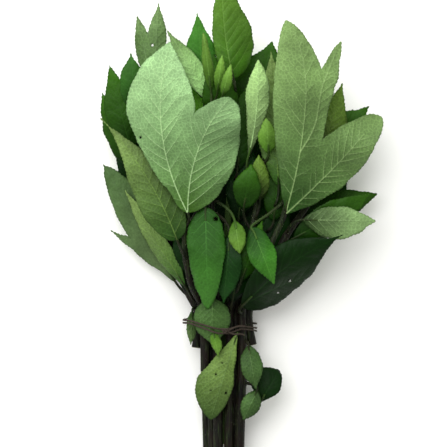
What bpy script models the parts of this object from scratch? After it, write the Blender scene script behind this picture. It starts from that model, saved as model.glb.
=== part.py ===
"""A tied bunch of cut sorrel shoots, lying down, with its leafy tips towards +Y.

Each shoot is one closed solid: a tapering stem, its petioles and its leaf blades. The shoots are
laid one over another from the surface up, and each blade is bent clear of what is already there.
Plan positions are millimetres seen from above, before the bunch is centred on its own footprint.
"""

import math
from collections import namedtuple

import bmesh
import bpy
import numpy as np
from mathutils import Vector
from mathutils.bvhtree import BVHTree
from mathutils.geometry import convex_hull_2d, delaunay_2d_cdt

MM = 0.001
CENTRE = Vector((14.1, 4.4, 0.0))

BLADE = 0.8
AIR = 1.2
EDGE_STEP = 4.8
EDGE_SHARE = 0.042
TOOTH = 1.3
BASE_TAPER = 0.72
TIP_TAPER = 1.22
MOST_SLOPE = 0.5
LIFT_SPREAD = 26.0
SAMPLE_STEP = 4.0

STEM_CUT_RADIUS = 3.9
STEM_TIP_RADIUS = 1.7
STEM_STEP = 17.0
STEM_LIFT_SPREAD = 30.0
STEM_SIDES = 8
PETIOLE_RADIUS = 1.25
PETIOLE_SUNK = 11.0
PETIOLE_SIDES = 4

TIE_Y = -83.0
TIE_HALF_RUN = 13.0
LAYER_HEIGHTS = (7.0, 14.2, 21.4)
CUT_HEIGHTS = (4.0, 11.3, 18.6)
CUT_RUN = 107.0
STRAND_RADIUS = 0.95
STRAND_PITCH = 2.8
STRAND_GAP = 0.9
STRAND_TURNS = 2
STRAND_STEP = 3.6
STRAND_SIDES = 6
KNOT_RADIUS = 2.0

LEAF_GREEN = (0.34, 0.50, 0.20, 1.0)
STRAND_BROWN = (0.16, 0.09, 0.05, 1.0)

Shoot = namedtuple("Shoot", "name slot layer cut path rise under over")
Leaf = namedtuple("Leaf", "at base tip width lobes rise arch bow roll cup ripple via")
Lobe = namedtuple("Lobe", "angle length width skew widest taper")


def leaf(at, base, tip, width, lobes=(), rise=4.0, arch=5.0, bow=0.0, roll=0.0, cup=2.0,
         ripple=0.8, widest=0.45, skew=0.0, taper=TIP_TAPER, via=None):
    """A leaf from base to tip in plan. `at` is where along the shoot its petiole leaves.

    rise lifts the tip, arch bows the midrib up, bow bends it sideways in plan, roll turns the
    right edge down, cup drops both edges and ripple waves them. Each lobe is beside the middle
    one: its angle to the right, its length and width as shares of the middle lobe's, then its
    skew, where along it it is widest, and its taper: how thin its tip is drawn out, from round
    at 0.5 to a long point at 1.9.
    """
    usual = Lobe(0.0, 1.0, 1.0, 0.0, widest, taper)
    made = [usual._replace(skew=skew)]
    for side in lobes:
        made.append(Lobe(*side, *usual[len(side):]))
    return Leaf(at, base, tip, width, tuple(made), rise, arch, bow, roll, cup, ripple, via)


def floor_leaf(at, base, tip, width, lobes=(), lift=0.0):
    """A leaf pressed on the surface under the bunch, flat or with its edges lifting a little."""
    return leaf(at, base, tip, width, lobes, rise=lift, arch=-lift, cup=-lift, ripple=0.4 * lift)


SHOOTS = (
    Shoot("shoot_low_left", -15, 0, (-12.6, -190), ((-30, -40), (-48, 0), (-62, 45), (-68, 72)), 12,
          under=(
              floor_leaf(-18, (-44, 4), (-84, 88), 44, [(-34, 0.6, 0.6), (34, 0.6, 0.6)]),
              floor_leaf(-68, (-26, -46), (-70, 18), 32, lift=1),
          ),
          over=(
              leaf(-66, (-39, -47), (-97.5, 48), 32, [(-20.6, 0.6, 0.34, 0.7, 0.4, 1.1)], rise=10,
                   roll=-12, widest=0.5, skew=0.2, taper=1.0),
              leaf(28, (-76, 45), (-98, 106), 20, rise=8, roll=-15),
              leaf(40, (-74, 56), (-92, 128), 25, rise=14, roll=-10),
          )),
    Shoot("shoot_low_mid_left", -5, 0, (-4.2, -180), ((-10, -30), (-20, 30), (-38, 80), (-50, 104)), 16,
          under=(
              floor_leaf(8, (-20, 28), (-42, 118), 50, [(-36, 0.6, 0.6), (36, 0.6, 0.6)]),
              floor_leaf(-56, (-8, -40), (-2, 50), 34),
          ),
          over=(
              leaf(-20, (-18, -14), (-30, 50), 28, rise=6),
              leaf(60, (-40, 70), (-72, 112), 30, rise=6),
              leaf(90, (-56, 104), (-52, 177), 15, [(-15, 0.87, 0.95)], rise=12, widest=0.55),
          )),
    Shoot("shoot_low_mid_right", 5, 0, (4.2, -176), ((9, -30), (16, 30), (20, 80), (22, 100)), 18,
          under=(floor_leaf(16, (24, 34), (36, 126), 46, [(-35, 0.6, 0.6), (35, 0.6, 0.6)]),),
          over=(
              leaf(-40, (12, -28), (31, 38), 27, rise=6),
              leaf(30, (15, 45), (12, 114), 24, rise=8),
              leaf(78, (21, 82), (39, 146), 43, rise=10),
          )),
    Shoot("shoot_low_right", 15, 0, (12.6, -192), ((28, -45), (52, -15), (74, 12), (84, 32)), 12,
          under=(
              floor_leaf(-12, (62, -6), (98, 62), 40, [(-34, 0.6, 0.6), (34, 0.6, 0.6)], lift=2),
              floor_leaf(-66, (26, -52), (76, -2), 32, lift=1),
          ),
          over=(
              leaf(-48, (32, -44), (88, 2), 34, rise=4),
              leaf(-6, (66, 6), (124, 24), 24, rise=4, roll=8),
              leaf(20, (84, 34), (104, 92), 24, rise=10),
          )),
    Shoot("shoot_mid_left", -20, 1, (-22, -100), ((-33, -45), (-45, -8), (-58, 40), (-66, 84)), 28,
          under=(),
          over=(
              leaf(-70, (-25, -70), (-26.5, -98), 11, rise=-1, roll=-40, arch=0, cup=1),
              leaf(-58, (-27, -56), (-31, 0), 24, rise=6),
              leaf(-64, (-31, -50), (-79, 27), 22, rise=8, roll=-45, arch=2),
              leaf(70, (-70, 88), (-74, 136), 22, rise=10),
          )),
    Shoot("shoot_mid_mid_left", -10, 1, (-8.4, -184), ((-15, -30), (-22, 30), (-20, 80), (-16, 96)), 34,
          under=(),
          over=(
              leaf(-54, (-17, -46), (-38, 8), 26, rise=4),
              leaf(14, (-34, 36), (-60, 104), 34, rise=6),
              leaf(56, (-14, 74), (-28, 130), 28, rise=10),
              leaf(82, (-15, 99), (-21, 168), 24, rise=16),
              leaf(76, (-6, 94), (-45, 154), 18, rise=12, roll=22),
          )),
    Shoot("shoot_mid", 0, 1, (0.0, -178), ((2, -30), (5, 30), (8, 80), (10, 104)), 34,
          under=(),
          over=(
              leaf(-62, (3, -56), (8, -2), 25, rise=4),
              leaf(-10, (12, 2), (19, 72), 26, rise=6),
              leaf(30, (11, 42), (19, 112), 24, rise=8),
              leaf(50, (2, 66), (-8, 136), 28, rise=8),
              leaf(98, (8, 115), (-1, 203), 32, rise=14, roll=8, bow=-3, widest=0.36, skew=0.35,
                   taper=1.4),
          )),
    Shoot("shoot_mid_mid_right", 10, 1, (8.4, -194), ((20, -35), (38, 10), (56, 60), (70, 98)), 32,
          under=(),
          over=(
              leaf(-54, (18, -42), (54.5, 14), 31, rise=4),
              leaf(-8, (40, 2), (46, 58), 22, rise=6),
              leaf(10, (44, 30), (38, 138), 28, rise=12),
              leaf(40, (72, 56), (117, 94), 26, rise=4),
              leaf(6, (54, 32), (80, 118), 30, rise=10),
          )),
    Shoot("shoot_mid_right", 20, 1, (23, -98), ((32, -45), (50, -10), (70, 18), (82, 38)), 26,
          under=(),
          over=(
              leaf(20, (73, 36), (95, 112), 27, rise=10),
              leaf(-30, (56, -12), (118, 24), 24, rise=4, roll=10),
              leaf(-10, (64, 3), (121, 2), 26, rise=6, roll=12, ripple=2.0, skew=0.15, taper=1.0),
          )),
    Shoot("shoot_top_mid_right", 5, 2, (4.2, -182), ((14, -40), (24, 0), (29, 35), (31, 52)), 44,
          under=(),
          over=(
              leaf(-72, (7, -63), (17, -12), 21, rise=4),
              leaf(-58, (14, -46), (31, 2), 20, rise=4),
              leaf(26, (19, 50), (27.6, 130), 19, rise=14, bow=3, widest=0.62, taper=1.0),
              leaf(2, (29, 18), (28, 55), 16, rise=6),
              leaf(-6, (16, 12), (22, 47), 22, rise=6),
              leaf(46, (36, 56), (34, 84), 15, rise=6),
          )),
    Shoot("shoot_top_right", 15, 2, (12.6, -190), ((24, -45), (36, -20), (47, 4), (51, 24)), 46,
          under=(),
          over=(
              leaf(-150, (29.5, -144), (44.5, -118), 27, rise=-4, widest=0.56, skew=-0.4, taper=0.75),
              leaf(-128, (27, -134), (16, -158), 15, rise=-3),
              leaf(-92, (20, -98), (26, -133), 17, rise=-2),
              leaf(-73, (15, -66), (95, -9), 39, [(16.7, 0.63, 0.62, 0.0, 0.36, 0.9)], rise=-10, bow=-5,
                   roll=16, cup=4, widest=0.48, taper=1.9),
              leaf(20, (22.5, -2), (40, -48), 22, rise=-12, via=(43, 12), taper=1.0),
              leaf(-2, (49.5, 7.5), (49.5, 161), 42.5,
                   [(17.5, 0.92, 0.43, -0.39, 0.64, 0.88), (44, 0.7, 0.87, -0.2, 0.54, 0.6)], rise=20,
                   bow=3, cup=5, widest=0.57, skew=0.4, taper=0.74),
          )),
    Shoot("shoot_top_mid_left", -5, 2, (-4.2, -187), ((-6, -30), (-11, 30), (-13, 80), (-8, 96)), 50,
          under=(),
          over=(
              leaf(10, (5, -11), (0, -64), 24, rise=-12, arch=2),
              leaf(20, (9, 2), (13, -24), 13, rise=-6, taper=1.0),
              leaf(90, (-10, 106), (-16, 151), 9, rise=14, widest=0.4),
              leaf(92, (-5, 104), (-1, 134), 8, rise=12),
              leaf(88, (-1, 101), (6, 126), 8, rise=8),
              leaf(-76, (11.5, -87), (-10.5, -158), 29.3, rise=-4, widest=0.62, skew=0.37, taper=0.7,
                   via=(-3, -92)),
          )),
    Shoot("shoot_top_left", -15, 2, (-14.8, -119), ((-25, -50), (-31, -20), (-31, 4)), 42,
          under=(),
          over=(
              leaf(-72, (-9, -60), (-9, -95), 29, rise=0, arch=0, cup=4, taper=0.6),
              leaf(-30, (-37, -13), (-98, 84), 34, rise=2, bow=6, widest=0.32, taper=1.9),
              leaf(-8, (-14.5, 13), (-12.5, -68.5), 30, rise=-18, arch=4, widest=0.37, taper=0.72),
              leaf(-4, (-28.5, 8.5), (-42, 144.5), 53.5, [(29.5, 0.81, 1.01, 0.23, 0.41, 0.52)], rise=14,
                   bow=-14, cup=5, widest=0.62, taper=0.95),
              leaf(-86, (-8, -87), (-4, -107), 9, rise=-3, arch=2),
          )),
)


def at(point):
    """A point in millimetres before centring, as a world point in metres."""
    return (Vector(point) - CENTRE) * MM


def smooth_path(points, step):
    """Points about `step` apart on a smooth curve through the given ones (Catmull-Rom)."""
    knots = [np.array(p, float) for p in points]
    knots = [2 * knots[0] - knots[1]] + knots + [2 * knots[-1] - knots[-2]]
    made = []
    for a, b, c, d in zip(knots, knots[1:], knots[2:], knots[3:]):
        pieces = max(1, round(float(np.linalg.norm(c - b)) / step))
        for i in range(pieces):
            t = i / pieces
            made.append(0.5 * (2 * b + (c - a) * t + (2 * a - 5 * b + 4 * c - d) * t * t
                               + (3 * b - a - 3 * c + d) * t ** 3))
    made.append(knots[-2])
    return np.array(made)


def lobe_edge(lobe, length, width):
    """One lobe's edge from base to tip: its distances off the lobe's own line, and along it."""
    t = np.linspace(0.001, 1, 160)
    power = math.log(0.5) / math.log(lobe.widest)
    taper = BASE_TAPER + (lobe.taper - BASE_TAPER) * t
    half = 0.5 * width * lobe.width * np.sin(np.pi * t ** power).clip(0) ** taper
    along = t * length * lobe.length
    return half, along


def edge_radius(angles, spec, length):
    """Distance from the leaf's base to its edge at each angle: the furthest lobe's."""
    radius = np.zeros_like(angles)
    for lobe in spec.lobes:
        half, along = lobe_edge(lobe, length, spec.width)
        off = angles - math.radians(lobe.angle)
        for side in (-1, 1):
            wide = half * (1 + side * lobe.skew)
            turn = np.minimum.accumulate(np.arctan2(wide, along))
            reach = np.interp(side * off, turn[::-1], np.hypot(wide, along)[::-1], right=0)
            radius = np.maximum(radius, np.where(side * off >= 0, reach, 0))
    return radius


def leaf_length(spec):
    return math.dist(spec.base, spec.tip)


def outline(spec, spacing, tooth):
    """The toothed edge of a leaf laid flat: u to the right of the midrib, v from the base on."""
    length = leaf_length(spec)
    turns = [lobe.angle for lobe in spec.lobes]
    angles = np.radians(np.arange(min(turns) - 90, max(turns) + 90.01, 0.25))
    angles = np.unique(np.concatenate([angles, np.radians(turns)]))
    radius = edge_radius(angles, spec, length)
    line = np.stack([np.sin(angles) * radius, np.cos(angles) * radius], 1)
    keys = {0, len(line) - 1}
    tips = sorted(int(np.argmin(abs(angles - math.radians(turn)))) for turn in turns)
    keys.update(tips)
    for a, b in zip(tips, tips[1:]):
        keys.add(a + int(np.argmin(radius[a:b + 1])))
    keys = sorted(keys)
    made = []
    for number, (a, b) in enumerate(zip(keys, keys[1:])):
        run = line[a:b + 1]
        far = np.concatenate([[0], np.cumsum(np.linalg.norm(np.diff(run, axis=0), axis=1))])
        pieces = max(2, 2 * round(far[-1] / spacing / 2))
        marks = np.linspace(0, far[-1], pieces + 1)[:-1]
        points = np.stack([np.interp(marks, far, run[:, i]) for i in (0, 1)], 1)
        ahead = np.stack([np.interp(marks + 0.5, far, run[:, i]) for i in (0, 1)], 1) - points
        outward = np.stack([-ahead[:, 1], ahead[:, 0]], 1)
        outward /= np.maximum(np.linalg.norm(outward, axis=1), 1e-9)[:, None]
        towards_tip = 1 if number % 2 == 0 else -1
        ahead /= np.maximum(np.linalg.norm(ahead, axis=1), 1e-9)[:, None]
        for i, (point, out, on) in enumerate(zip(points, outward, ahead)):
            if i % 2 == 1 and np.linalg.norm(point) > 0.2 * length:
                point = point + tooth * out + 0.8 * tooth * towards_tip * on
            made.append(point)
    return np.array(made)


def flat_mesh(spec, spacing, grid, tooth):
    """Points and triangles of a leaf laid flat, with an edge of the mesh along each midrib."""
    edge = outline(spec, spacing, tooth)
    length = leaf_length(spec)
    points = [tuple(p) for p in edge]
    links = [(i, (i + 1) % len(edge)) for i in range(len(edge))]
    for lobe in spec.lobes:
        line = np.array([math.sin(math.radians(lobe.angle)), math.cos(math.radians(lobe.angle))])
        last = 0
        for r in np.arange(grid, 0.9 * length * lobe.length, grid):
            points.append(tuple(line * r))
            links.append((last, len(points) - 1))
            last = len(points) - 1
    middle = np.array(points[len(edge):]).reshape(-1, 2)
    low, high = edge.min(0), edge.max(0)
    for row, v in enumerate(np.arange(low[1] + grid / 2, high[1], grid * 0.87)):
        for u in np.arange(low[0] + grid / 2 + (row % 2) * grid / 2, high[0], grid):
            spot = np.array([u, v])
            reach = edge_radius(np.array([math.atan2(u, v)]), spec, length)[0]
            clear = np.linalg.norm(edge - spot, axis=1).min() > 0.45 * grid
            apart = not len(middle) or np.linalg.norm(middle - spot, axis=1).min() > 0.6 * grid
            if np.linalg.norm(spot) < reach and clear and apart:
                points.append((u, v))
    found = delaunay_2d_cdt([Vector(p) for p in points], links, [], 1, 1e-4)
    used = sorted({i for face in found[2] for i in face})
    place = {old: new for new, old in enumerate(used)}
    faces = [tuple(place[i] for i in face) for face in found[2]]
    return np.array([tuple(found[0][i]) for i in used]), faces


class LaidLeaf:
    """A leaf's middle surface: its flat points bent to shape, then lifted clear of the pile."""

    def __init__(self, spec, base_height, seed):
        self.spec = spec
        self.length = leaf_length(spec)
        self.height = base_height
        self.phase = 2.4 * seed
        self.bumps = []

    def place(self, flat):
        """World points in millimetres of flat points (u, v)."""
        spec = self.spec
        u, v = flat[:, 0], flat[:, 1]
        t = v / self.length
        base, tip = np.array(spec.base, float), np.array(spec.tip, float)
        chord = (tip - base) / self.length
        side = np.array([chord[1], -chord[0]])
        slope = 4 * spec.bow * (1 - 2 * t) / self.length
        ahead = chord[None] + slope[:, None] * side[None]
        ahead /= np.linalg.norm(ahead, axis=1)[:, None]
        across = np.stack([ahead[:, 1], -ahead[:, 0]], 1)
        line = base + np.outer(v, chord) + np.outer(4 * spec.bow * t * (1 - t), side)
        roll = math.radians(spec.roll)
        plan = line + across * (u * math.cos(roll))[:, None]
        half = 0.5 * spec.width
        out = np.abs(u) / half
        wave = spec.ripple * out ** 2 * np.sin(v / 7.5 + np.sign(u) * 1.3 + self.phase)
        height = (self.height + spec.rise * t + 4 * spec.arch * t * (1 - t)
                  - u * math.sin(roll) - spec.cup * out ** 2 / (1 + 0.25 * out ** 2) + wave)
        for bump_u, bump_v, amount in self.bumps:
            away = (u - bump_u) ** 2 + (v - bump_v) ** 2
            height = height + amount * np.exp(-away / (2 * LIFT_SPREAD ** 2))
        return np.column_stack([plan, height])


def spots_on(flat, faces):
    """Spots over the triangles, closer than SAMPLE_STEP: three corners and their shares each."""
    corners, shares = [], []
    for face in faces:
        a, b, c = flat[list(face)]
        longest = max(np.linalg.norm(b - a), np.linalg.norm(c - b), np.linalg.norm(a - c))
        n = max(1, math.ceil(longest / SAMPLE_STEP))
        for i in range(n + 1):
            for j in range(n + 1 - i):
                corners.append(face)
                shares.append((i / n, j / n, (n - i - j) / n))
    return np.array(corners), np.array(shares)[:, :, None]


class Pile:
    """What has been laid so far, as triangles in millimetres, and how high it stands."""

    def __init__(self):
        self.points = []
        self.faces = []
        self.tree = None

    def add(self, points, faces):
        first = len(self.points)
        self.points.extend(Vector(p) for p in points)
        self.faces.extend(tuple(first + i for i in face) for face in faces)
        self.tree = BVHTree.FromPolygons(self.points, self.faces)

    def clear_height(self, x, y, gap):
        """The least height at (x, y) that leaves `gap`, square to the surface below."""
        if self.tree:
            hit, normal, _, _ = self.tree.ray_cast(Vector((x, y, 1000.0)), Vector((0, 0, -1)))
            if hit is not None:
                return hit.z + gap / max(abs(normal.z), MOST_SLOPE)
        return BLADE / 2


def lay_leaf(spec, height, pile, seed):
    """Bends a leaf clear of the pile. Returns the laid leaf, its points and its triangles."""
    laid = LaidLeaf(spec, height, seed)
    spacing = EDGE_STEP + EDGE_SHARE * laid.length
    flat, faces = flat_mesh(spec, spacing, 1.9 * spacing, TOOTH)
    corners, shares = spots_on(flat, faces)
    flat_spots = (flat[corners] * shares).sum(1)
    for _ in range(80):
        now = (laid.place(flat)[corners] * shares).sum(1)
        need = np.array([pile.clear_height(x, y, BLADE + AIR) for x, y, _ in now]) - now[:, 2]
        worst = int(np.argmax(need))
        if need[worst] <= 0.01:
            break
        laid.bumps.append((*flat_spots[worst], need[worst] + 0.05))
    return laid, laid.place(flat), faces


def tube(name, points, radii, sides):
    """A closed tube round a line of points in millimetres, as a mesh object."""
    curve = bpy.data.curves.new(name, "CURVE")
    curve.dimensions = "3D"
    curve.bevel_depth = 1.0 * MM
    curve.bevel_resolution = (sides - 4) // 2
    curve.use_fill_caps = True
    spline = curve.splines.new("POLY")
    spline.points.add(len(points) - 1)
    for knot, point, radius in zip(spline.points, points, radii):
        knot.co = (*at(point), 1)
        knot.radius = radius
    source = bpy.data.objects.new(name + "_line", curve)
    bpy.context.scene.collection.objects.link(source)
    return as_mesh(source, name)


def mesh_of(source):
    """The triangles that an object evaluates to, its doubled points merged."""
    bpy.context.view_layer.update()
    graph = bpy.context.evaluated_depsgraph_get()
    mesh = bpy.data.meshes.new_from_object(source.evaluated_get(graph))
    shape = bmesh.new()
    shape.from_mesh(mesh)
    bmesh.ops.remove_doubles(shape, verts=shape.verts, dist=0.00001)
    bmesh.ops.triangulate(shape, faces=shape.faces)
    bmesh.ops.recalc_face_normals(shape, faces=shape.faces)
    shape.to_mesh(mesh)
    shape.free()
    return mesh


def as_mesh(source, name):
    """A new mesh object in place of the source, which is removed."""
    made = bpy.data.objects.new(name, mesh_of(source))
    made.matrix_world = source.matrix_world
    bpy.data.objects.remove(source)
    return made


def blade(name, points, faces):
    """A leaf blade: the laid surface and its copy above it, BLADE apart, with an edge between."""
    shape = bmesh.new()
    corners = [shape.verts.new(at(p)) for p in points]
    for face in faces:
        shape.faces.new([corners[i] for i in face])
    shape.normal_update()
    half = {}
    for corner in corners:
        half[corner] = 0.5 * BLADE * MM / max(abs(corner.normal.z), MOST_SLOPE)
    copied = bmesh.ops.extrude_face_region(shape, geom=shape.faces[:], use_keep_orig=True)
    raised = [item for item in copied["geom"] if isinstance(item, bmesh.types.BMVert)]
    below = {(corner.co.x, corner.co.y): corner for corner in corners}
    for corner in raised:
        corner.co.z += half[below[(corner.co.x, corner.co.y)]]
    for corner in corners:
        corner.co.z -= half[corner]
    bmesh.ops.triangulate(shape, faces=[face for face in shape.faces if len(face.verts) > 3])
    bmesh.ops.recalc_face_normals(shape, faces=shape.faces)
    mesh = bpy.data.meshes.new(name)
    shape.to_mesh(mesh)
    shape.free()
    return bpy.data.objects.new(name, mesh)


def triangles(obj):
    """An object's points in millimetres before centring, and its faces."""
    points = [obj.matrix_world @ v.co / MM + CENTRE for v in obj.data.vertices]
    return points, [tuple(face.vertices) for face in obj.data.polygons]


def stem_line(shoot, pile):
    """The stem's middle line, lifted over the pile above the tie, and its radii."""
    slot = LAYER_HEIGHTS[shoot.layer]
    drop = (slot - CUT_HEIGHTS[shoot.layer]) * (TIE_Y - shoot.cut[1]) / CUT_RUN
    plan = ((*shoot.cut, slot - drop),)
    if shoot.cut[1] < TIE_Y - 3 * TIE_HALF_RUN:
        plan += ((shoot.slot, TIE_Y - 1.6 * TIE_HALF_RUN, slot),)
    plan += ((shoot.slot, TIE_Y, slot), (shoot.slot, TIE_Y + TIE_HALF_RUN, slot))
    top = shoot.path[-1][1]
    for x, y in shoot.path:
        share = (y - TIE_Y) / (top - TIE_Y)
        plan += ((x, y, slot + (shoot.rise - slot) * share ** 1.2),)
    line = smooth_path(plan, STEM_STEP)
    far = np.concatenate([[0], np.cumsum(np.linalg.norm(np.diff(line, axis=0), axis=1))])
    radii = STEM_CUT_RADIUS + (STEM_TIP_RADIUS - STEM_CUT_RADIUS) * (far / far[-1]) ** 1.5
    radii = np.where(line[:, 1] < TIE_Y, STEM_CUT_RADIUS - 0.1, radii)
    free = ((line[:, 1] - TIE_Y - TIE_HALF_RUN) / 20).clip(0, 1)
    marks = np.arange(far[free > 0.1][0], far[-1], SAMPLE_STEP)
    thick = np.interp(marks, far, radii)
    for _ in range(60):
        spots = [np.interp(marks, far, line[:, i]) for i in range(3)]
        need = np.full(len(marks), -1.0)
        for i, (x, y, z) in enumerate(zip(*spots)):
            for share in (-1, -0.7, 0, 0.7, 1):
                ground = pile.clear_height(x + share * thick[i], y, AIR + BLADE / 2)
                under = thick[i] * math.sqrt(1 - share * share)
                need[i] = max(need[i], ground + under - z)
        worst = int(np.argmax(need))
        if need[worst] <= 0.01:
            break
        away = far - marks[worst]
        line[:, 2] += (need[worst] + 0.05) * np.exp(-away ** 2 / (2 * STEM_LIFT_SPREAD ** 2)) * free
    return line, radii


def point_on(line, y):
    """The point of a stem's line at a distance y along the bunch."""
    order = np.argsort(line[:, 1])
    return np.array([np.interp(y, line[order, 1], line[order, i]) for i in range(3)])


def petiole(name, start, laid, pile):
    """The stalk from the middle of the stem, over the pile and into the blade along its midrib."""
    sunk = min(PETIOLE_SUNK, 0.25 * laid.length)
    inside = laid.place(np.array([[0, 0.01], [0, 0.5 * sunk], [0, sunk]]))
    base = inside[0]
    inward = inside[1] - base
    inward /= np.linalg.norm(inward)
    span = np.linalg.norm(base - start)
    control = base - inward * 0.45 * span
    if laid.spec.via:
        control = np.array([*laid.spec.via, max(start[2], base[2]) + 3])
    t = np.linspace(0, 1, max(4, round(span / 9)))[:-1, None]
    line = (1 - t) ** 2 * start + 2 * t * (1 - t) * control + t ** 2 * base
    radius = min(PETIOLE_RADIUS, 0.12 * laid.spec.width)
    if pile:
        for point in line:
            if math.dist(point[:2], start[:2]) > STEM_CUT_RADIUS + radius:
                point[2] = max(point[2], pile.clear_height(point[0], point[1], radius + AIR))
    line = np.concatenate([line, inside])
    line[:, 2] = np.maximum(line[:, 2], radius + 0.05)
    radii = np.linspace(radius * 1.15, radius * 0.6, len(line))
    return tube(name, line, radii, PETIOLE_SIDES)


def join(body, pieces):
    """Fuses the pieces into the body with one Boolean union, and removes them."""
    held = bpy.data.collections.new(body.name + "_pieces")
    bpy.context.scene.collection.children.link(held)
    bpy.context.scene.collection.objects.link(body)
    for piece in pieces:
        held.objects.link(piece)
    union = body.modifiers.new("union", "BOOLEAN")
    union.operation = "UNION"
    union.operand_type = "COLLECTION"
    union.collection = held
    union.solver = "MANIFOLD"
    mesh = mesh_of(body)
    body.modifiers.clear()
    body.data = mesh
    bpy.context.scene.collection.objects.unlink(body)
    for piece in list(held.objects):
        bpy.data.objects.remove(piece)
    bpy.data.collections.remove(held)
    return body


def material(name, colour, roughness):
    made = bpy.data.materials.new(name)
    made.use_nodes = True
    shader = made.node_tree.nodes["Principled BSDF"]
    shader.inputs["Base Color"].default_value = colour
    shader.inputs["Roughness"].default_value = roughness
    return made


def build_shoot(shoot, pile, first_seed):
    """One shoot: the leaves under its stem, the stem, and the leaves over it, in that order."""
    under = []
    for number, spec in enumerate(shoot.under):
        under.append(lay_leaf(spec, BLADE / 2, pile, first_seed + number))
        pile.add(*under[-1][1:])
    line, radii = stem_line(shoot, pile)
    stem = tube(shoot.name, line, radii, STEM_SIDES)
    pieces = []
    for laid, points, faces in under:
        pieces.append(petiole("stalk", point_on(line, laid.spec.at), laid, None))
        pieces.append(blade("blade", points, faces))
    for piece in [stem] + pieces[::2]:
        pile.add(*triangles(piece))
    for number, spec in enumerate(shoot.over):
        start = point_on(line, spec.at)
        seed = first_seed + len(shoot.under) + number
        laid, points, faces = lay_leaf(spec, start[2] + 3, pile, seed)
        stalk = petiole("stalk", start, laid, pile)
        pieces += [stalk, blade("blade", points, faces)]
        pile.add(points, faces)
        pile.add(*triangles(stalk))
    return join(stem, pieces)


def crossings(obj, y):
    """Where an object's surface crosses the plane at y, in plan x and z."""
    points, faces = triangles(obj)
    made = []
    for face in faces:
        for a, b in zip(face, face[1:] + face[:1]):
            start, end = points[a], points[b]
            if (start.y - y) * (end.y - y) < 0:
                spot = start.lerp(end, (y - start.y) / (end.y - start.y))
                made.append((spot.x, spot.z))
    return made


def tie_strand(shoots):
    """The fibre strand wound round all the shoots, with its ends in a small knot on the right."""
    held = [spot for obj in shoots for step in (-4, 0, 4) for spot in crossings(obj, TIE_Y + step)]
    reach = STRAND_RADIUS + STRAND_GAP
    ring = [(math.cos(a) * reach, math.sin(a) * reach) for a in np.linspace(0, 2 * math.pi, 13)[:-1]]
    grown = [Vector((x + dx, z + dz)) for x, z in held for dx, dz in ring]
    hull = [grown[i] for i in convex_hull_2d(grown)]
    first = max(range(len(hull)), key=lambda i: hull[i].x)
    loop = np.array([tuple(p) for p in hull[first:] + hull[:first + 1]])
    far = np.concatenate([[0], np.cumsum(np.linalg.norm(np.diff(loop, axis=0), axis=1))])
    marks = np.arange(0, STRAND_TURNS * far[-1] + 0.01, STRAND_STEP)
    x = np.interp(marks % far[-1], far, loop[:, 0])
    z = np.interp(marks % far[-1], far, loop[:, 1])
    y = TIE_Y + STRAND_PITCH * (marks / far[-1] - STRAND_TURNS / 2)
    wound = tube("tie_strand", np.column_stack([x, y, z]), np.full(len(x), STRAND_RADIUS), STRAND_SIDES)
    knot_at = np.array([loop[0, 0] + 0.4, TIE_Y, loop[0, 1]])
    reach_y = 0.5 * STRAND_TURNS * STRAND_PITCH
    knot = tube("knot", [knot_at - (0, reach_y + 1, 0), knot_at - (0, 0.5 * reach_y, -0.3),
                         knot_at + (0, 0.5 * reach_y, 0.3), knot_at + (0, reach_y + 1, 0)],
                [0.7 * KNOT_RADIUS, KNOT_RADIUS, KNOT_RADIUS, 0.7 * KNOT_RADIUS], STRAND_SIDES)
    ends = []
    for name, way in (("end_up", (2.5, 11, 4)), ("end_down", (3.5, -9, 2))):
        middle = knot_at + np.array(way) * (0.5, 0.5, 0.9)
        ends.append(tube(name, [knot_at, middle, knot_at + way], [0.8, 0.75, 0.6], STRAND_SIDES))
    return join(wound, [knot] + ends)


def main():
    for obj in list(bpy.data.objects):
        bpy.data.objects.remove(obj)
    home = bpy.data.collections.new("sorrel_bunch")
    bpy.context.scene.collection.children.link(home)
    pile = Pile()
    seed = 0
    parts = []
    for shoot in SHOOTS:
        parts.append(build_shoot(shoot, pile, seed))
        seed += len(shoot.under) + len(shoot.over)
    parts.append(tie_strand(parts))
    for obj in parts:
        home.objects.link(obj)
        colour = STRAND_BROWN if obj.name == "tie_strand" else LEAF_GREEN
        obj.data.materials.clear()
        obj.data.materials.append(material(obj.name + "_material", colour, 0.6))
        obj.data.shade_smooth()
        obj.data.set_sharp_from_angle(angle=math.radians(35))


main()
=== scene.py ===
"""The looks of a tied bunch of cut sorrel shoots, lying down with its leafy tips towards +Y.

The leaves are laid over one another exactly as the solids are, from the same named values, and each
gets a fine toothed blade with raised veins in place of its plain solid. Plan positions are
millimetres seen from above, before the bunch is centred on its own footprint.
"""

import math
from collections import namedtuple

import bmesh
import bpy
import numpy as np
from bpy.props import FloatProperty, FloatVectorProperty, IntProperty, PointerProperty
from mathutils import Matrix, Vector, kdtree, noise
from mathutils.bvhtree import BVHTree
from mathutils.geometry import convex_hull_2d, delaunay_2d_cdt


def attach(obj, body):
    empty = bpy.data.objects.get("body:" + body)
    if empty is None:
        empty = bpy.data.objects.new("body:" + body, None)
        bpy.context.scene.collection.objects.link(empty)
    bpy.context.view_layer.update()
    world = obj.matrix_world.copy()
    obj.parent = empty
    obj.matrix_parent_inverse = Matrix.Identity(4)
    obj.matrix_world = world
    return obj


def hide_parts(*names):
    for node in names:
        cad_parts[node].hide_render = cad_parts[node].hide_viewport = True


bl_info = {
    "name": "Tied bunch of sorrel shoots",
    "version": (1, 0, 0),
    "blender": (4, 5, 0),
    "location": "3D View > Sidebar > Sorrel",
    "description": "Builds the leaves, stems and tie of a bunch of cut sorrel shoots round its frame",
    "category": "Object",
}

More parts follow.
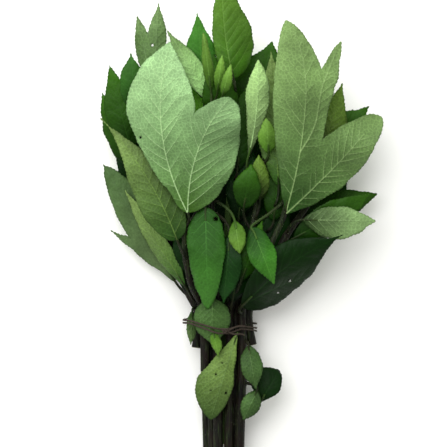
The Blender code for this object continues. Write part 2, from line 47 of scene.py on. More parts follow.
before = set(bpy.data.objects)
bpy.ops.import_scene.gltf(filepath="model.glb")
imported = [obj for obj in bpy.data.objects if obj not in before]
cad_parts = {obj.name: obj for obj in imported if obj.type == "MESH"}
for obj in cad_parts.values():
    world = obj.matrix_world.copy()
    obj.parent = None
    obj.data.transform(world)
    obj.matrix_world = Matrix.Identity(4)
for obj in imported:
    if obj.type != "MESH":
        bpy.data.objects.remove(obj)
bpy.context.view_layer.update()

# Sizes that the solids share
MM = 0.001
CENTRE = Vector((14.1, 4.4, 0.0))
BLADE = 0.8
AIR = 1.2
EDGE_STEP = 4.8
EDGE_SHARE = 0.042
TOOTH = 1.3
BASE_TAPER = 0.72
TIP_TAPER = 1.22
MOST_SLOPE = 0.5
LIFT_SPREAD = 26.0
SAMPLE_STEP = 4.0
STEM_CUT_RADIUS = 3.9
STEM_TIP_RADIUS = 1.7
STEM_STEP = 17.0
STEM_LIFT_SPREAD = 30.0
STEM_SIDES = 8
PETIOLE_RADIUS = 1.25
PETIOLE_SUNK = 11.0
PETIOLE_SIDES = 4
TIE_Y = -83.0
TIE_HALF_RUN = 13.0
LAYER_HEIGHTS = (7.0, 14.2, 21.4)
CUT_HEIGHTS = (4.0, 11.3, 18.6)
CUT_RUN = 107.0
STRAND_RADIUS = 0.95
STRAND_PITCH = 2.8
STRAND_GAP = 0.9
STRAND_TURNS = 2
STRAND_STEP = 3.6

# Which kinds of leaf have a green petiole, and which shoot a green stem
PALE_STALKED = ("fresh", "young", "pale")
GREEN_STEMMED = ("shoot_mid",)

# Patterns of the leaf and stem skins, in millimetres; a unit of the leaf's UV map is UV_MM of them
UV_MM = 100.0
PATCH, GRAIN, NET = 24.0, 1.6, 3.0
STREAK_WIDTH, STREAK_LENGTH, BLOTCH = 1.11, 16.7, 11.1

# Veins: half widths in millimetres on a leaf of HERO_LENGTH, and angles in degrees
HERO_LENGTH = 120.0
MIDRIB_HALF, SIDE_VEIN_HALF, BRANCH_HALF = 0.75, 0.44, 0.26
VEIN_OPENING, VEIN_BEND, FORK_OPENING = 54.0, 26.0, 34.0
FULL_VEIN = 22.0
SUNK_VEIN = 0.3

# How near the fine mesh's points come to the leaf's veins and edge, in millimetres
NARROWEST = 0.3
VEIN_TO_EDGE, BESIDE_VEIN, BESIDE_EDGE, BESIDE_OUTLINE = 1.5, 0.24, 0.45, 0.3
HOLE_CORNERS = 10

# Waves of the blade: their heights, their sizes and how far they reach in from the edge
EDGE_WAVE, EDGE_WAVE_SIZE, FINE_EDGE_SIZE = 1.0, 10.0, 3.2
BROAD_WAVE, BROAD_WAVE_SIZE = 0.9, 27.0
RIM_WAVE, RIM_WAVE_SIZE, RIM_WAVE_REACH = 0.9, 7.0, 5.0
CRINKLE_SIZE, FINE_CRINKLE_SIZE = 11.0, 4.5
PUFF_REACH, RIM_REACH = 3.4, 2.5
VEIN_NEAR = 12.0  # how far beside a vein the distance from it is still worked out
NO_VEIN = 99.0  # the distance of a point with no vein near it
FLOOR_CLEAR = 0.03

# Colour of the blade: painted shade along its rim and on one half of it, and how much leaves differ
RIM_SHADE_REACH, RIM_SHADE_DEPTH = 0.45, 0.3
PAINTED_SHADE_SPREAD = 3.0
LEAF_TO_LEAF = 0.10

# Stalks, hairs and cut ends
NODE_SWELLING, NODE_SPREAD = 0.14, 3.0
STALK_STEP, PETIOLE_STEP = 2.5, 1.6
STALK_SIDES = 28
HAIR_RADIUS, HAIR_LEAN = 0.08 * MM, 0.4
CUT_RINGS = ((0.98, 0.02), (0.93, 0.22), (0.7, 0.3), (0.35, 0.22))
CUT_MIDDLE, CUT_SUNK = 0.12, 0.3

# The tie: how its windings sag at each x, its knot, its two tails and its loose fibres
STRAND_FINE_STEP = 0.9
SAG = ((-26, 4.2), (-14, 0.6), (-5, -2.4), (4, -2.8), (14, 0.4), (28, -1.0))
KNOT_X = 1.0
KNOT_HALF = (0.8, 0.6, 0.45)
TAIL_DRIFTS = ((-4.5, 0.6), (3.4, 1.0))
PLIES = 3
PLY_OFFSET = 1.1
FIBRE_RADIUS, FIBRE_LENGTH, FIBRE_LEAN = 0.06 * MM, 2.5 * MM, 1.2
FIBRE_DENSITY = 120000.0

# The stage, in metres
FLOOR_HALF = 4.0
BUNCH_MIDDLE = 0.04
KEY_SPOT, KEY_TARGET, KEY_SIZE = Vector((-0.45, 0.75, 0.95)), Vector((0, 0.03, 0)), 1.8
SENSOR_WIDTH = 36.0

Shoot = namedtuple("Shoot", "name slot layer cut path rise over under", defaults=((),))
Leaf = namedtuple("Leaf", "at base tip width lobes rise arch bow roll cup ripple via look holes ribs dim")
Lobe = namedtuple("Lobe", "angle length width skew widest taper")
Look = namedtuple("Look", "upper_side_up base tip vein back quilt grid")
Stalk = namedtuple("Stalk", "line radii redness")
Vein = namedtuple("Vein", "line half_width strength")


def linear(code):
    """The linear red, green and blue of an sRGB hex colour."""
    made = []
    for i in (0, 2, 4):
        share = int(code[i:i + 2], 16) / 255
        made.append(share / 12.92 if share <= 0.04045 else ((share + 0.055) / 1.055) ** 2.4)
    return tuple(made)


# How each kind of leaf lies and is coloured: the base and tip of the side that shows, its back. Most bases
# are darker than the leaf's own green, as painted shade from the middle of the bunch.
LOOKS = {
    # Its pale minty tip colour is a painted sheen on top of the pale underside
    "silver_sheen": Look(False, "2a4a09", "82a471", "9ab882", "2f5f1c", 0.6, 1.1),
    "under": Look(False, "103303", "6c874f", "809a62", "2c5a1b", 0.55, 1.1),
    "olive": Look(False, "1a4005", "70894a", "5a7534", "2c5419", 0.4, 1.3),
    "strip": Look(False, "abdd8b", "415827", "7e9f61", "2c5419", 0.4, 1.3),
    "light": Look(False, "102504", "7d9c63", "829d69", "2c5419", 0.4, 1.3),
    "pale": Look(False, "020e00", "a3ca7d", "93b477", "3d7023", 0.5, 1.3),
    "dusty": Look(False, "2a4618", "5c7646", "5b7349", "35561f", 0.2, 1.5),
    "sage": Look(False, "2b451c", "42602f", "4f6b3b", "2d4f20", 0.2, 1.5),
    "moss": Look(False, "69843f", "263a15", "536e3b", "2d4f20", 0.2, 1.5),
    "bronze": Look(False, "0a1802", "5b7b29", "516729", "33501b", 0.2, 1.7),
    "young": Look(True, "335713", "628735", "6a9242", "9cc06a", 0.1, 1.4),
    "fresh": Look(True, "0f3506", "3b7223", "46752d", "84a85c", 0.6, 1.4),
    "green": Look(True, "103203", "396926", "386828", "7a9a58", 0.5, 1.4),
    "quilted": Look(True, "2c560c", "507127", "5d7e39", "7a9a58", 1.1, 1.2),
    "bluish": Look(True, "536741", "435e33", "4a623e", "7d9a66", 0.5, 1.5),
    "deep": Look(True, "0a2403", "2b520d", "254a0f", "6a8a48", 0.5, 1.6),
    # A mostly hidden leaf, brightened well past its own green to make up for the shade it lies in: painted
    # light
    "painted_light": Look(True, "65a72d", "65a72d", "6a9242", "7a9a58", 0.4, 1.6),
    "night": Look(True, "061c02", "092404", "14330c", "4f6f33", 0.6, 1.5),
    "dusk": Look(True, "0a2406", "163a12", "24491a", "4f6f33", 0.6, 1.5),
    # Near-black filler leaves for the dark gaps deep in the bunch: painted shade
    "shade": Look(True, "031102", "0d3204", "0d2e06", "4f6f33", 0.2, 2.8),
}


def leaf(at, base, tip, width, look="deep", lobes=(), rise=4.0, arch=5.0, bow=0.0, roll=0.0, cup=2.0,
         ripple=0.8, widest=0.45, skew=0.0, taper=TIP_TAPER, via=None, holes=(), ribs=(), dim=0.0):
    """A leaf from base to tip in plan. `at` is where along the shoot its petiole leaves, and look
    its kind in LOOKS.

    rise lifts the tip, arch bows the midrib up, bow bends it sideways in plan, roll turns the
    right edge down, cup drops both edges and ripple waves them. Each lobe is beside the middle
    one: its angle to the right, its length and width as shares of the middle lobe's, then its
    skew, where along it it is widest, and its taper: how thin its tip is drawn out, from round
    at 0.5 to a long point at 1.9. Each hole is a plan position and a radius. ribs are the plan
    positions along each lobe's midrib, where it doesn't run straight from base to tip. The last
    argument paints shade on one half: how much darker the half right of the midrib is, or left
    of it where it is negative.
    """
    usual = Lobe(0.0, 1.0, 1.0, 0.0, widest, taper)
    made = [usual._replace(skew=skew)]
    for side in lobes:
        made.append(Lobe(*side, *usual[len(side):]))
    return Leaf(at, base, tip, width, tuple(made), rise, arch, bow, roll, cup, ripple, via, look, holes,
                ribs, dim)


def floor_leaf(at, base, tip, width, lobes=(), lift=0.0):
    """A leaf pressed on the surface under the bunch, flat or with its edges lifting a little."""
    # Near-black: painted shade under the bunch
    return leaf(at, base, tip, width, "shade", lobes, lift, -lift, cup=-lift, ripple=0.4 * lift)


SHOOTS = (
    Shoot("shoot_low_left", -15, 0, (-12.6, -190), ((-30, -40), (-48, 0), (-62, 45), (-68, 72)), 12,
          under=(
              floor_leaf(-18, (-44, 4), (-84, 88), 44, [(-34, 0.6, 0.6), (34, 0.6, 0.6)]),
              floor_leaf(-68, (-26, -46), (-70, 18), 32, lift=1),
          ),
          over=(
              leaf(-66, (-39, -47), (-97.5, 48), 32, "bluish", [(-20.6, 0.6, 0.34, 0.7, 0.4, 1.1)],
                   rise=10, roll=-12, widest=0.5, skew=0.2, taper=1.0),
              leaf(28, (-76, 45), (-98, 106), 20, rise=8, roll=-15),
              leaf(40, (-74, 56), (-92, 128), 25, rise=14, roll=-10),
          )),
    Shoot("shoot_low_mid_left", -5, 0, (-4.2, -180), ((-10, -30), (-20, 30), (-38, 80), (-50, 104)), 16,
          under=(
              floor_leaf(8, (-20, 28), (-42, 118), 50, [(-36, 0.6, 0.6), (36, 0.6, 0.6)]),
              floor_leaf(-56, (-8, -40), (-2, 50), 34),
          ),
          over=(
              leaf(-20, (-18, -14), (-30, 50), 28, "shade", rise=6),
              leaf(60, (-40, 70), (-72, 112), 30, rise=6),
              leaf(90, (-56, 104), (-52, 177), 15, "dusty", [(-15, 0.87, 0.95)], rise=12, widest=0.55,
                   holes=((-57, 143, 1.2),)),
          )),
    Shoot("shoot_low_mid_right", 5, 0, (4.2, -176), ((9, -30), (16, 30), (20, 80), (22, 100)), 18,
          under=(floor_leaf(16, (24, 34), (36, 126), 46, [(-35, 0.6, 0.6), (35, 0.6, 0.6)]),),
          over=(
              leaf(-40, (12, -28), (31, 38), 27, "shade", rise=6),
              leaf(30, (15, 45), (12, 114), 24, rise=8),
              leaf(78, (21, 82), (39, 146), 43, rise=10),
          )),
    Shoot("shoot_low_right", 15, 0, (12.6, -192), ((28, -45), (52, -15), (74, 12), (84, 32)), 12,
          under=(
              floor_leaf(-12, (62, -6), (98, 62), 40, [(-34, 0.6, 0.6), (34, 0.6, 0.6)], lift=2),
              floor_leaf(-66, (26, -52), (76, -2), 32, lift=1),
          ),
          over=(
              leaf(-48, (32, -44), (88, 2), 34, "shade", rise=4),
              leaf(-6, (66, 6), (124, 24), 24, rise=4, roll=8),
              leaf(20, (84, 34), (104, 92), 24, rise=10),
          )),
    Shoot("shoot_mid_left", -20, 1, (-22, -100), ((-33, -45), (-45, -8), (-58, 40), (-66, 84)), 28,
          over=(
              leaf(-70, (-25, -70), (-26.5, -98), 11, "dusty", rise=-1, roll=-40, arch=0, cup=1),
              leaf(-58, (-27, -56), (-31, 0), 24, "shade", rise=6),
              leaf(-64, (-31, -50), (-79, 27), 22, "olive", rise=8, roll=-45, arch=2),
              leaf(70, (-70, 88), (-74, 136), 22, "green", rise=10),
          )),
    Shoot("shoot_mid_mid_left", -10, 1, (-8.4, -184), ((-15, -30), (-22, 30), (-20, 80), (-16, 96)), 34,
          over=(
              leaf(-54, (-17, -46), (-38, 8), 26, "shade", rise=4),
              leaf(14, (-34, 36), (-60, 104), 34, rise=6),
              leaf(56, (-14, 74), (-28, 130), 28, "painted_light", rise=10),
              leaf(82, (-15, 99), (-21, 168), 24, "fresh", rise=16),
              leaf(76, (-6, 94), (-45, 154), 18, "strip", rise=12, roll=22),
          )),
    Shoot("shoot_mid", 0, 1, (0.0, -178), ((2, -30), (5, 30), (8, 80), (10, 104)), 34,
          over=(
              leaf(-62, (3, -56), (8, -2), 25, "shade", rise=4),
              leaf(-10, (12, 2), (19, 72), 26, "shade", rise=6),
              leaf(30, (11, 42), (19, 112), 24, rise=8),
              leaf(50, (2, 66), (-8, 136), 28, rise=8),
              leaf(98, (8, 115), (-1, 203), 32, "quilted", dim=0.15, rise=14, roll=8, bow=-3,
                   widest=0.36, skew=0.35, taper=1.4),
          )),
    Shoot("shoot_mid_mid_right", 10, 1, (8.4, -194), ((20, -35), (38, 10), (56, 60), (70, 98)), 32,
          over=(
              leaf(-54, (18, -42), (54.5, 14), 31, "shade", rise=4),
              leaf(-8, (40, 2), (46, 58), 22, rise=6),
              leaf(10, (44, 30), (38, 138), 28, "olive", rise=12),
              leaf(40, (72, 56), (117, 94), 26, rise=4),
              leaf(6, (54, 32), (80, 118), 30, "bronze", rise=10),
          )),
    Shoot("shoot_mid_right", 20, 1, (23, -98), ((32, -45), (50, -10), (70, 18), (82, 38)), 26,
          over=(
              leaf(20, (73, 36), (95, 112), 27, "bronze", rise=10),
              leaf(-30, (56, -12), (118, 24), 24, rise=4, roll=10),
              leaf(-10, (64, 3), (121, 2), 26, "light", rise=6, roll=12, ripple=2.0, skew=0.15, taper=1.0),
          )),
    Shoot("shoot_top_mid_right", 5, 2, (4.2, -182), ((14, -40), (24, 0), (29, 35), (31, 52)), 44,
          over=(
              leaf(-72, (7, -63), (17, -12), 21, "shade", rise=4),
              leaf(-58, (14, -46), (31, 2), 20, rise=4),
              leaf(26, (19, 50), (27.6, 130), 19, "pale", dim=0.25, rise=14, bow=3, widest=0.62, taper=1.0),
              leaf(2, (29, 18), (28, 55), 16, "bronze", rise=6),
              leaf(-6, (16, 12), (22, 47), 22, rise=6),
              leaf(46, (36, 56), (34, 84), 15, "young", rise=6),
          )),
    Shoot("shoot_top_right", 15, 2, (12.6, -190), ((24, -45), (36, -20), (47, 4), (51, 24)), 46,
          over=(
              leaf(-150, (29.5, -144), (44.5, -118), 27, "night", rise=-4, widest=0.56, skew=-0.4,
                   taper=0.75),
              leaf(-128, (27, -134), (16, -158), 15, "sage", dim=-0.45, rise=-3),
              leaf(-92, (20, -98), (26, -133), 17, "sage", dim=0.1, rise=-2),
              leaf(-73, (15, -66), (95, -9), 39, "night", [(16.7, 0.63, 0.62, 0.0, 0.36, 0.9)], rise=-10,
                   bow=-5, roll=16, cup=4, widest=0.48, taper=1.9, holes=((53, -46, 1.6), (44, -56, 1.0))),
              leaf(20, (22.5, -2), (40, -48), 22, "fresh", dim=0.35, rise=-12, via=(43, 12), taper=1.0),
              leaf(-2, (49.5, 7.5), (49.5, 161), 42.5, "under",
                   [(17.5, 0.92, 0.43, -0.39, 0.64, 0.88), (44, 0.7, 0.87, -0.2, 0.54, 0.6)],
                   rise=20, bow=3, cup=5, widest=0.57, skew=0.4, taper=0.74, ribs=(
                       ((49.5, 7.5), (59.5, 50), (64.5, 88), (65, 114), (60, 141), (52, 158)),
                       ((61, 57), (72, 77), (78, 107), (89, 136)),
                       ((49.5, 7.5), (87, 44), (112, 71)))),
          )),
    Shoot("shoot_top_mid_left", -5, 2, (-4.2, -187), ((-6, -30), (-11, 30), (-13, 80), (-8, 96)), 50,
          over=(
              leaf(10, (5, -11), (0, -64), 24, "dusk", rise=-12, arch=2),
              leaf(20, (9, 2), (13, -24), 13, "young", rise=-6, taper=1.0, holes=((9.5, -2, 0.9),)),
              leaf(90, (-10, 106), (-16, 151), 9, "young", rise=14, widest=0.4),
              leaf(92, (-5, 104), (-1, 134), 8, "young", rise=12),
              leaf(88, (-1, 101), (6, 126), 8, "young", rise=8),
              leaf(-76, (11.5, -87), (-10.5, -158), 29.3, "moss", rise=-4, widest=0.62, skew=0.37,
                   taper=0.7, via=(-3, -92),
                   holes=((-6, -121, 0.9), (2, -136, 1.1), (-1, -112, 0.6), (-10, -134, 0.6))),
          )),
    Shoot("shoot_top_left", -15, 2, (-14.8, -119), ((-25, -50), (-31, -20), (-31, 4)), 42,
          over=(
              leaf(-72, (-9, -60), (-9, -95), 29, "sage", rise=0, arch=0, cup=4, taper=0.6),
              leaf(-30, (-37, -13), (-98, 84), 34, "olive", dim=0.3, rise=2, bow=6, widest=0.32, taper=1.9),
              leaf(-8, (-14.5, 13), (-12.5, -68.5), 30, "green", rise=-18, arch=4, widest=0.37,
                   taper=0.72, holes=((-6, 3.6, 2.2),)),
              leaf(-4, (-28.5, 8.5), (-42, 144.5), 53.5, "silver_sheen", [(29.5, 0.81, 1.01, 0.23, 0.41, 0.52)],
                   rise=14, bow=-14, cup=5, widest=0.62, taper=0.95, holes=((-66, 68.4, 1.0),)),
              leaf(-86, (-8, -87), (-4, -107), 9, "young", rise=-3, arch=2),
          )),
)


# Laying, as the solids are laid


def at(point):
    """A point in millimetres before centring, as a world point in metres."""
    return (Vector(point) - CENTRE) * MM


def smooth_path(points, step):
    """Points about `step` apart on a smooth curve through the given ones (Catmull-Rom)."""
    knots = [np.array(p, float) for p in points]
    knots = [2 * knots[0] - knots[1]] + knots + [2 * knots[-1] - knots[-2]]
    made = []
    for a, b, c, d in zip(knots, knots[1:], knots[2:], knots[3:]):
        pieces = max(1, round(float(np.linalg.norm(c - b)) / step))
        for i in range(pieces):
            t = i / pieces
            made.append(0.5 * (2 * b + (c - a) * t + (2 * a - 5 * b + 4 * c - d) * t * t
                               + (3 * b - a - 3 * c + d) * t ** 3))
    made.append(knots[-2])
    return np.array(made)


def unit(rows):
    """Each row as a vector of length one."""
    return rows / np.maximum(np.linalg.norm(rows, axis=1), 1e-9)[:, None]


def right_of(rows):
    """Each flat direction turned a quarter to the right."""
    return np.stack([rows[:, 1], -rows[:, 0]], 1)


def close_to(distance, reach):
    """One at no distance, falling smoothly to nothing past the reach."""
    return np.exp(-(distance / reach) ** 2)


def chain(first, count, closed=False):
    """Links from each of `count` points to the next one, and from the last to the first if closed."""
    return [(first + i, first + (i + 1) % count) for i in range(count if closed else count - 1)]


def placed(name, data):
    """A new object of the scene, at the origin."""
    made = bpy.data.objects.new(name, data)
    bpy.context.scene.collection.objects.link(made)
    return made


def run_along(line):
    """How far each point of a line is along it."""
    return np.concatenate([[0], np.cumsum(np.linalg.norm(np.diff(line, axis=0), axis=1))])


def lobe_edge(lobe, length, width):
    """One lobe's edge from base to tip: its distances off the lobe's own line, and along it."""
    t = np.linspace(0.001, 1, 160)
    power = math.log(0.5) / math.log(lobe.widest)
    taper = BASE_TAPER + (lobe.taper - BASE_TAPER) * t
    half = 0.5 * width * lobe.width * np.sin(np.pi * t ** power).clip(0) ** taper
    along = t * length * lobe.length
    return half, along


def edge_radius(angles, spec, length):
    """Distance from the leaf's base to its edge at each angle: the furthest lobe's."""
    radius = np.zeros_like(angles)
    for lobe in spec.lobes:
        half, along = lobe_edge(lobe, length, spec.width)
        off = angles - math.radians(lobe.angle)
        for side in (-1, 1):
            wide = half * (1 + side * lobe.skew)
            turn = np.minimum.accumulate(np.arctan2(wide, along))
            reach = np.interp(side * off, turn[::-1], np.hypot(wide, along)[::-1], right=0)
            radius = np.maximum(radius, np.where(side * off >= 0, reach, 0))
    return radius


def leaf_length(spec):
    return math.dist(spec.base, spec.tip)


def outline(spec, spacing, tooth):
    """The toothed edge of a leaf laid flat: u to the right of the midrib, v from the base on."""
    length = leaf_length(spec)
    turns = [lobe.angle for lobe in spec.lobes]
    angles = np.radians(np.arange(min(turns) - 90, max(turns) + 90.01, 0.25))
    angles = np.unique(np.concatenate([angles, np.radians(turns)]))
    radius = edge_radius(angles, spec, length)
    line = np.stack([np.sin(angles) * radius, np.cos(angles) * radius], 1)
    keys = {0, len(line) - 1}
    tips = sorted(int(np.argmin(abs(angles - math.radians(turn)))) for turn in turns)
    keys.update(tips)
    for a, b in zip(tips, tips[1:]):
        keys.add(a + int(np.argmin(radius[a:b + 1])))
    keys = sorted(keys)
    made = []
    for number, (a, b) in enumerate(zip(keys, keys[1:])):
        run = line[a:b + 1]
        far = run_along(run)
        pieces = max(2, 2 * round(far[-1] / spacing / 2))
        marks = np.linspace(0, far[-1], pieces + 1)[:-1]
        points = np.stack([np.interp(marks, far, run[:, i]) for i in (0, 1)], 1)
        ahead = unit(np.stack([np.interp(marks + 0.5, far, run[:, i]) for i in (0, 1)], 1) - points)
        towards_tip = 1 if number % 2 == 0 else -1
        for i, (point, out, on) in enumerate(zip(points, -right_of(ahead), ahead)):
            if i % 2 == 1 and np.linalg.norm(point) > 0.2 * length:
                point = point + tooth * out + 0.8 * tooth * towards_tip * on
            made.append(point)
    return np.array(made)


def flat_mesh(spec, spacing, grid, tooth):
    """Points and triangles of a leaf laid flat, with an edge of the mesh along each midrib."""
    edge = outline(spec, spacing, tooth)
    length = leaf_length(spec)
    points = [tuple(p) for p in edge]
    links = chain(0, len(edge), closed=True)
    for lobe in spec.lobes:
        line = np.array([math.sin(math.radians(lobe.angle)), math.cos(math.radians(lobe.angle))])
        last = 0
        for r in np.arange(grid, 0.9 * length * lobe.length, grid):
            points.append(tuple(line * r))
            links.append((last, len(points) - 1))
            last = len(points) - 1
    middle = np.array(points[len(edge):]).reshape(-1, 2)
    low, high = edge.min(0), edge.max(0)
    for row, v in enumerate(np.arange(low[1] + grid / 2, high[1], grid * 0.87)):
        for u in np.arange(low[0] + grid / 2 + (row % 2) * grid / 2, high[0], grid):
            spot = np.array([u, v])
            reach = edge_radius(np.array([math.atan2(u, v)]), spec, length)[0]
            clear = np.linalg.norm(edge - spot, axis=1).min() > 0.45 * grid
            apart = not len(middle) or np.linalg.norm(middle - spot, axis=1).min() > 0.6 * grid
            if np.linalg.norm(spot) < reach and clear and apart:
                points.append((u, v))
    return triangulated(points, links)


def triangulated(points, links):
    """Triangles inside a closed outline of links, and the points that they use."""
    found = delaunay_2d_cdt([Vector(p) for p in points], links, [], 1, 1e-4)
    used = sorted({i for face in found[2] for i in face})
    place = {old: new for new, old in enumerate(used)}
    faces = [tuple(place[i] for i in face) for face in found[2]]
    return np.array([tuple(found[0][i]) for i in used]), faces


class LaidLeaf:
    """A leaf's middle surface: its flat points bent to shape, then lifted clear of the pile."""

    def __init__(self, spec, base_height, seed):
        self.spec = spec
        self.length = leaf_length(spec)
        self.height = base_height
        self.seed = seed
        self.phase = 2.4 * seed
        self.bumps = []

    def place(self, flat):
        """World points in millimetres of flat points (u, v)."""
        spec = self.spec
        u, v = flat[:, 0], flat[:, 1]
        t = v / self.length
        base, tip = np.array(spec.base, float), np.array(spec.tip, float)
        chord = (tip - base) / self.length
        side = np.array([chord[1], -chord[0]])
        slope = 4 * spec.bow * (1 - 2 * t) / self.length
        across = right_of(unit(chord[None] + slope[:, None] * side[None]))
        line = base + np.outer(v, chord) + np.outer(4 * spec.bow * t * (1 - t), side)
        roll = math.radians(spec.roll)
        plan = line + across * (u * math.cos(roll))[:, None]
        half = 0.5 * spec.width
        out = np.abs(u) / half
        wave = spec.ripple * out ** 2 * np.sin(v / 7.5 + np.sign(u) * 1.3 + self.phase)
        height = (self.height + spec.rise * t + 4 * spec.arch * t * (1 - t)
                  - u * math.sin(roll) - spec.cup * out ** 2 / (1 + 0.25 * out ** 2) + wave)
        for bump_u, bump_v, amount in self.bumps:
            away = (u - bump_u) ** 2 + (v - bump_v) ** 2
            height = height + amount * np.exp(-away / (2 * LIFT_SPREAD ** 2))
        return np.column_stack([plan, height])

    def flat_spot(self, plan):
        """The flat point that lies at a plan position."""
        base, tip = np.array(self.spec.base, float), np.array(self.spec.tip, float)
        ahead = (tip - base) / self.length
        frame_of_leaf = np.array([[ahead[1], -ahead[0]], ahead])
        spot = frame_of_leaf @ (np.array(plan, float) - base)
        for _ in range(40):
            now = self.place(spot[None])[0, :2]
            spot = spot + 0.7 * frame_of_leaf @ (np.array(plan, float) - now)
        return spot


def spots_on(flat, faces):
    """Spots over the triangles, closer than SAMPLE_STEP: three corners and their shares each."""
    corners, shares = [], []
    for face in faces:
        a, b, c = flat[list(face)]
        longest = max(np.linalg.norm(b - a), np.linalg.norm(c - b), np.linalg.norm(a - c))
        n = max(1, math.ceil(longest / SAMPLE_STEP))
        for i in range(n + 1):
            for j in range(n + 1 - i):
                corners.append(face)
                shares.append((i / n, j / n, (n - i - j) / n))
    return np.array(corners), np.array(shares)[:, :, None]


class Pile:
    """What has been laid so far, as triangles in millimetres, and how high it stands."""

    def __init__(self):
        self.points = []
        self.faces = []
        self.tree = None

    def add(self, points, faces):
        first = len(self.points)
        self.points.extend(Vector(p) for p in points)
        self.faces.extend(tuple(first + i for i in face) for face in faces)
        self.tree = BVHTree.FromPolygons(self.points, self.faces)

    def clear_height(self, x, y, gap):
        """The least height at (x, y) that leaves `gap`, square to the surface below."""
        if self.tree:
            hit, normal, _, _ = self.tree.ray_cast(Vector((x, y, 1000.0)), Vector((0, 0, -1)))
            if hit is not None:
                return hit.z + gap / max(abs(normal.z), MOST_SLOPE)
        return BLADE / 2


def lay_leaf(spec, height, pile, seed):
    """Bends a leaf clear of the pile. Returns the laid leaf, its points and its triangles."""
    laid = LaidLeaf(spec, height, seed)
    spacing = EDGE_STEP + EDGE_SHARE * laid.length
    flat, faces = flat_mesh(spec, spacing, 1.9 * spacing, TOOTH)
    corners, shares = spots_on(flat, faces)
    flat_spots = (flat[corners] * shares).sum(1)
    for _ in range(80):
        now = (laid.place(flat)[corners] * shares).sum(1)
        need = np.array([pile.clear_height(x, y, BLADE + AIR) for x, y, _ in now]) - now[:, 2]
        worst = int(np.argmax(need))
        if need[worst] <= 0.01:
            break
        laid.bumps.append((*flat_spots[worst], need[worst] + 0.05))
    return laid, laid.place(flat), faces


def tube_triangles(points, radii, sides):
    """A closed tube round a line, as points in millimetres before centring and triangles."""
    curve = bpy.data.curves.new("tube", "CURVE")
    curve.dimensions = "3D"
    curve.bevel_depth = 1.0 * MM
    curve.bevel_resolution = (sides - 4) // 2
    curve.use_fill_caps = True
    spline = curve.splines.new("POLY")
    spline.points.add(len(points) - 1)
    for knot, point, radius in zip(spline.points, points, radii):
        knot.co = (*at(point), 1)
        knot.radius = radius
    source = placed("tube", curve)
    bpy.context.view_layer.update()
    mesh = bpy.data.meshes.new_from_object(source.evaluated_get(bpy.context.evaluated_depsgraph_get()))
    shape = bmesh.new()
    shape.from_mesh(mesh)
    bmesh.ops.remove_doubles(shape, verts=shape.verts, dist=0.00001)
    bmesh.ops.triangulate(shape, faces=shape.faces)
    made = [corner.co / MM + CENTRE for corner in shape.verts]
    faces = [tuple(corner.index for corner in face.verts) for face in shape.faces]
    shape.free()
    bpy.data.meshes.remove(mesh)
    bpy.data.objects.remove(source)
    bpy.data.curves.remove(curve)
    return made, faces


def stem_line(shoot, pile):
    """The stem's middle line, lifted over the pile above the tie, and its radii."""
    slot = LAYER_HEIGHTS[shoot.layer]
    drop = (slot - CUT_HEIGHTS[shoot.layer]) * (TIE_Y - shoot.cut[1]) / CUT_RUN
    plan = ((*shoot.cut, slot - drop),)
    if shoot.cut[1] < TIE_Y - 3 * TIE_HALF_RUN:
        plan += ((shoot.slot, TIE_Y - 1.6 * TIE_HALF_RUN, slot),)
    plan += ((shoot.slot, TIE_Y, slot), (shoot.slot, TIE_Y + TIE_HALF_RUN, slot))
    top = shoot.path[-1][1]
    for x, y in shoot.path:
        share = (y - TIE_Y) / (top - TIE_Y)
        plan += ((x, y, slot + (shoot.rise - slot) * share ** 1.2),)
    line = smooth_path(plan, STEM_STEP)
    far = run_along(line)
    radii = STEM_CUT_RADIUS + (STEM_TIP_RADIUS - STEM_CUT_RADIUS) * (far / far[-1]) ** 1.5
    radii = np.where(line[:, 1] < TIE_Y, STEM_CUT_RADIUS - 0.1, radii)
    free = ((line[:, 1] - TIE_Y - TIE_HALF_RUN) / 20).clip(0, 1)
    marks = np.arange(far[free > 0.1][0], far[-1], SAMPLE_STEP)
    thick = np.interp(marks, far, radii)
    for _ in range(60):
        spots = [np.interp(marks, far, line[:, i]) for i in range(3)]
        need = np.full(len(marks), -1.0)
        for i, (x, y, z) in enumerate(zip(*spots)):
            for share in (-1, -0.7, 0, 0.7, 1):
                ground = pile.clear_height(x + share * thick[i], y, AIR + BLADE / 2)
                under = thick[i] * math.sqrt(1 - share * share)
                need[i] = max(need[i], ground + under - z)
        worst = int(np.argmax(need))
        if need[worst] <= 0.01:
            break
        away = far - marks[worst]
        line[:, 2] += (need[worst] + 0.05) * np.exp(-away ** 2 / (2 * STEM_LIFT_SPREAD ** 2)) * free
    return line, radii


def point_on(line, y):
    """The point of a stem's line at a distance y along the bunch."""
    order = np.argsort(line[:, 1])
    return np.array([np.interp(y, line[order, 1], line[order, i]) for i in range(3)])


def petiole(start, laid, pile):
    """The stalk's line from the middle of the stem, over the pile and into the blade."""
    sunk = min(PETIOLE_SUNK, 0.25 * laid.length)
    inside = laid.place(np.array([[0, 0.01], [0, 0.5 * sunk], [0, sunk]]))
    base = inside[0]
    inward = inside[1] - base
    inward /= np.linalg.norm(inward)
    span = np.linalg.norm(base - start)
    control = base - inward * 0.45 * span
    if laid.spec.via:
        control = np.array([*laid.spec.via, max(start[2], base[2]) + 3])
    t = np.linspace(0, 1, max(4, round(span / 9)))[:-1, None]
    line = (1 - t) ** 2 * start + 2 * t * (1 - t) * control + t ** 2 * base
    radius = min(PETIOLE_RADIUS, 0.12 * laid.spec.width)
    if pile:
        for point in line:
            if math.dist(point[:2], start[:2]) > STEM_CUT_RADIUS + radius:
                point[2] = max(point[2], pile.clear_height(point[0], point[1], radius + AIR))
    line = np.concatenate([line, inside])
    line[:, 2] = np.maximum(line[:, 2], radius + 0.05)
    radii = np.linspace(radius * 1.15, radius * 0.6, len(line))
    return line, radii


